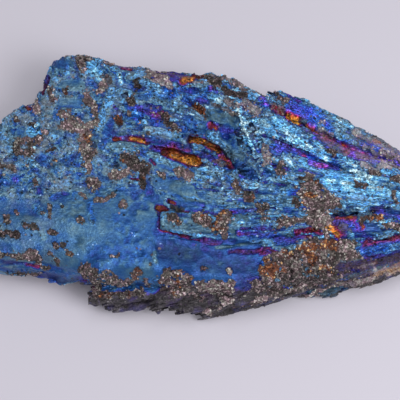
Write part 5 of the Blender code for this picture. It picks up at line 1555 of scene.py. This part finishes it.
def blade_tree():
    """Fine flat blades that lie along the fan, with narrower ends."""
    tree, nodes, given, made = scatter_tree(
        "fine blades", Density=1.0e6, Shortest=0.0012, Longest=0.006, Width=0.0006, Thickness=0.0004
    )
    spread = points_on_faces(nodes, given, named(nodes, "bladed"), 21)
    stick = {"Vertices": 6, "Radius": 0.5, "Depth": 1.0, "Side Segments": 5}
    blade = nodes.add("GeometryNodeMeshCylinder", stick)
    place = nodes.add("GeometryNodeInputPosition").outputs["Position"]
    parts = nodes.add("ShaderNodeSeparateXYZ", {0: place}).outputs
    taper = nodes.between(nodes.math("ABSOLUTE", parts["Z"]), 0.3, 0.5, 1.0, 0.62)
    shaped = nodes.vector(parts["Z"], nodes.times(parts["X"], taper), nodes.times(parts["Y"], taper))
    laid = nodes.add("GeometryNodeSetPosition", {"Geometry": blade.outputs["Mesh"], "Position": shaped})
    flow = named(nodes, "flow", "FLOAT_VECTOR")
    along = nodes.add("FunctionNodeAlignRotationToVector", {"Vector": flow}, axis="X")
    upward = nodes.add("FunctionNodeAlignRotationToVector", axis="Z", pivot_axis="X")
    nodes.put(upward.inputs["Rotation"], along.outputs["Rotation"])
    nodes.put(upward.inputs["Vector"], spread["Normal"])
    turned = nodes.add("FunctionNodeRotateRotation", rotation_space="LOCAL")
    nodes.put(turned.inputs["Rotation"], upward.outputs["Rotation"])
    nodes.put(turned.inputs["Rotate By"], random_between(nodes, (-0.4, -0.05, -0.1), (0.4, 0.05, 0.1), 22))
    length = nodes.math("POWER", random_between(nodes, 0.0, 1.0, 23), 1.8)
    length = nodes.between(length, 0.0, 1.0, given["Shortest"], given["Longest"])
    width = nodes.math("POWER", random_between(nodes, 0.3, 1.5, 24), 1.5)
    width = nodes.times(width, given["Width"])
    thick = nodes.times(random_between(nodes, 0.6, 1.3, 25), given["Thickness"])
    scale = nodes.vector(length, width, thick)
    geometry = copies(nodes, spread, laid.outputs["Geometry"], turned.outputs["Rotation"], scale)
    copied = ("film", "shade", "across", "along", "wear", "dust", "bare", "tone")
    finish_tree(nodes, geometry, given, made, copied)
    return tree


def scattered_piece(name, tree, settings, finish):
    """A piece that a scatter tree makes on the stone's surface, as a plain mesh."""
    values = {label.capitalize(): getattr(settings, label) for label in type(settings).__annotations__}
    values["Finish"] = finish
    piece = new_object(name, bpy.data.objects["kyanite_body"].data.copy())
    modifier = piece.modifiers.new(name, "NODES")
    modifier.node_group = tree
    for item in tree.interface.items_tree:
        if item.in_out == "INPUT" and item.name in values:
            modifier[item.identifier] = values[item.name]
    bake_modifiers(piece)
    surface = Surface(piece.data)
    keep_inside(surface)
    surface.write_points()
    ride_with_stone(piece)


def ride_with_stone(piece):
    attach(piece, BODY)


# ---- Stage ----


FLOOR_REACH = 1.5  # metres from the stone to the floor's edges


def add_floor(settings):
    bm = bmesh.new()
    bmesh.ops.create_grid(bm, x_segments=1, y_segments=1, size=FLOOR_REACH)
    mesh = bpy.data.meshes.new("floor")
    bm.to_mesh(mesh)
    bm.free()
    floor = new_object("floor", mesh)
    material, _, shader = new_material("pale floor")
    shader["Base Color"].default_value = (*settings.floor_colour, 1.0)
    shader["Roughness"].default_value = 0.8
    shader["Specular IOR Level"].default_value = 0.1
    mesh.materials.append(material)


def add_lamp(name, place, size, power):
    """A square lamp at place, in millimetres from the stone, turned towards it."""
    light = bpy.data.lights.new(name, "AREA")
    light.size = size * MM
    light.energy = power
    lamp = new_object(name, light)
    lamp.location = Vector(place) * MM
    lamp.rotation_euler = (-lamp.location).to_track_quat("-Z", "Y").to_euler()


def add_lights(settings):
    world = bpy.data.worlds.new("soft sky")
    world.use_nodes = True
    background = world.node_tree.nodes["Background"]
    background.inputs["Color"].default_value = (1.0, 1.0, 1.0, 1.0)
    background.inputs["Strength"].default_value = settings.sky_strength
    bpy.context.scene.world = world
    add_lamp("key lamp", *KEY_LAMP, settings.key_power)
    add_lamp("top lamp", *TOP_LAMP, settings.top_power)


def add_camera():
    data = bpy.data.cameras.new("camera")
    data.lens = LENS
    data.sensor_width = SENSOR
    data.clip_start = MM
    camera = new_object("camera", data)
    back = Vector(VIEW_BACK)
    camera.location = (Vector(VIEW_AIM) + VIEW_DISTANCE * back) * MM
    camera.rotation_euler = (-back).to_track_quat("-Z", "Y").to_euler()
    bpy.context.scene.camera = camera
    bpy.context.scene.view_settings.view_transform = "Standard"


# ---- Settings, operators and panel ----


def length_setting(label, text, default):
    """A length that the user can change, in metres."""
    return FloatProperty(name=label, description=text, default=default, min=0.0, unit="LENGTH", precision=5)


def number_setting(label, text, default, unit="NONE"):
    """A number from 0 up that the user can change."""
    return FloatProperty(name=label, description=text, default=default, min=0.0, unit=unit)


class KyaniteBodySettings(PropertyGroup):
    face_size: length_setting("Face size", "Length of the mesh's faces on the broad face", 0.00027)
    kept_share: FloatProperty(
        name="Kept share", description="Share of the faces that stay when the hidden ones are thinned",
        default=0.52, min=0.1, max=1.0, subtype="FACTOR",
    )
    ledge_height: length_setting("Ledge height", "How far a lath stands above its neighbour", 0.00022)
    ridge_height: length_setting("Ridge height", "Height of the fine ridges along the laths", 0.00005)
    pit_depth: length_setting("Pit depth", "Depth of the pits", 0.00035)


class KyaniteGritSettings(PropertyGroup):
    density: number_setting("Density", "Grains on a square metre of grit", 11.0e6)
    smallest: length_setting("Smallest grain", "Size of the smallest grains", 0.00013)
    largest: length_setting("Largest grain", "Size of the largest grains", 0.00043)


class KyaniteBladeSettings(PropertyGroup):
    density: number_setting("Density", "Blades on a square metre of the fan", 0.45e6)
    shortest: length_setting("Shortest", "Length of the shortest blades", 0.0012)
    longest: length_setting("Longest", "Length of the longest blades", 0.0036)
    width: length_setting("Width", "Middle width of a blade", 0.0009)
    thickness: length_setting("Thickness", "Middle thickness of a blade", 0.00038)


class KyaniteStageSettings(PropertyGroup):
    floor_colour: FloatVectorProperty(
        name="Floor colour", description="Colour of the pale lilac-grey floor",
        default=from_screen(214, 210, 222)[:3], subtype="COLOR", size=3, min=0.0, max=1.0,
    )
    key_power: number_setting("Key lamp", "Power of the lamp on the right", 0.78, "POWER")
    top_power: number_setting("Top lamp", "Power of the wide lamp overhead", 1.02, "POWER")
    sky_strength: number_setting("Sky", "Strength of the soft light all round", 0.24)


class KYANITE_OT_body(Operator):
    """Makes the stone's surface, with its laths, ledges, pits and film"""

    bl_idname = "kyanite.body"
    bl_label = "Kyanite body"

    def execute(self, context):
        settings = context.scene.kyanite_body
        piece = even_mesh(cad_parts[NODE], settings.face_size)
        thin_hidden_faces(piece, settings.kept_share)
        surface = Surface(piece.data)
        zones, marks = shape_surface(surface, settings)
        upper, clean = 1.0 - zones["under"], 1.0 - zones["grit"]
        values = {
            **{name: zones[name] for name in ("across", "along", "grit", "rust", "tone", "grains", "bare")},
            **film_level(surface, zones, marks),
            "shown": zones["facing"],
            "crumbs": zones["rough"] * zones["facing"] * (upper * clean),
            "bladed": np.maximum(0.3 * zones["fan"], zones["front"]) * upper * clean,
            "flow": fan_direction(surface.points),
        }
        for name, value in values.items():
            surface.write_attribute(name, value)
        piece.data.materials.clear()
        piece.data.materials.append(body_material())
        ride_with_stone(piece)
        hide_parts(NODE)
        return {"FINISHED"}


class KYANITE_OT_grit(Operator):
    """Strews angular grains over the gritty patches"""

    bl_idname = "kyanite.grit"
    bl_label = "Grit grains"

    def execute(self, context):
        scattered_piece("grit_grains", grain_tree(), context.scene.kyanite_grit, grain_material())
        return {"FINISHED"}


class KYANITE_OT_blades(Operator):
    """Lays fine blades along the fan, between and on the broad laths"""

    bl_idname = "kyanite.blades"
    bl_label = "Fine blades"

    def execute(self, context):
        finish = bpy.data.materials["kyanite with titanium film"]
        scattered_piece("fine_blades", blade_tree(), context.scene.kyanite_blades, finish)
        return {"FINISHED"}


class KYANITE_OT_stage(Operator):
    """Adds the floor, the lights and the camera"""

    bl_idname = "kyanite.stage"
    bl_label = "Stage"

    def execute(self, context):
        settings = context.scene.kyanite_stage
        add_floor(settings)
        add_lights(settings)
        add_camera()
        return {"FINISHED"}


class KYANITE_PT_panel(Panel):
    """Lists the pieces of the stone and the stage"""

    bl_idname = "KYANITE_PT_panel"
    bl_label = "Rainbow kyanite"
    bl_space_type = "VIEW_3D"
    bl_region_type = "UI"
    bl_category = "Kyanite"

    def draw(self, context):
        for operator, name, group in STEPS:
            box = self.layout.box()
            box.operator(operator.bl_idname)
            for setting in group.__annotations__:
                box.prop(getattr(context.scene, name), setting)


STEPS = (
    (KYANITE_OT_body, "kyanite_body", KyaniteBodySettings),
    (KYANITE_OT_grit, "kyanite_grit", KyaniteGritSettings),
    (KYANITE_OT_blades, "kyanite_blades", KyaniteBladeSettings),
    (KYANITE_OT_stage, "kyanite_stage", KyaniteStageSettings),
)


def register():
    for operator, name, group in STEPS:
        bpy.utils.register_class(group)
        setattr(bpy.types.Scene, name, PointerProperty(type=group))
        bpy.utils.register_class(operator)
    bpy.utils.register_class(KYANITE_PT_panel)


def unregister():
    bpy.utils.unregister_class(KYANITE_PT_panel)
    for operator, name, group in reversed(STEPS):
        bpy.utils.unregister_class(operator)
        delattr(bpy.types.Scene, name)
        bpy.utils.unregister_class(group)


def main():
    register()
    bpy.ops.kyanite.body()
    bpy.ops.kyanite.grit()
    bpy.ops.kyanite.blades()
    bpy.ops.kyanite.stage()


if __name__ == "__main__":
    main()
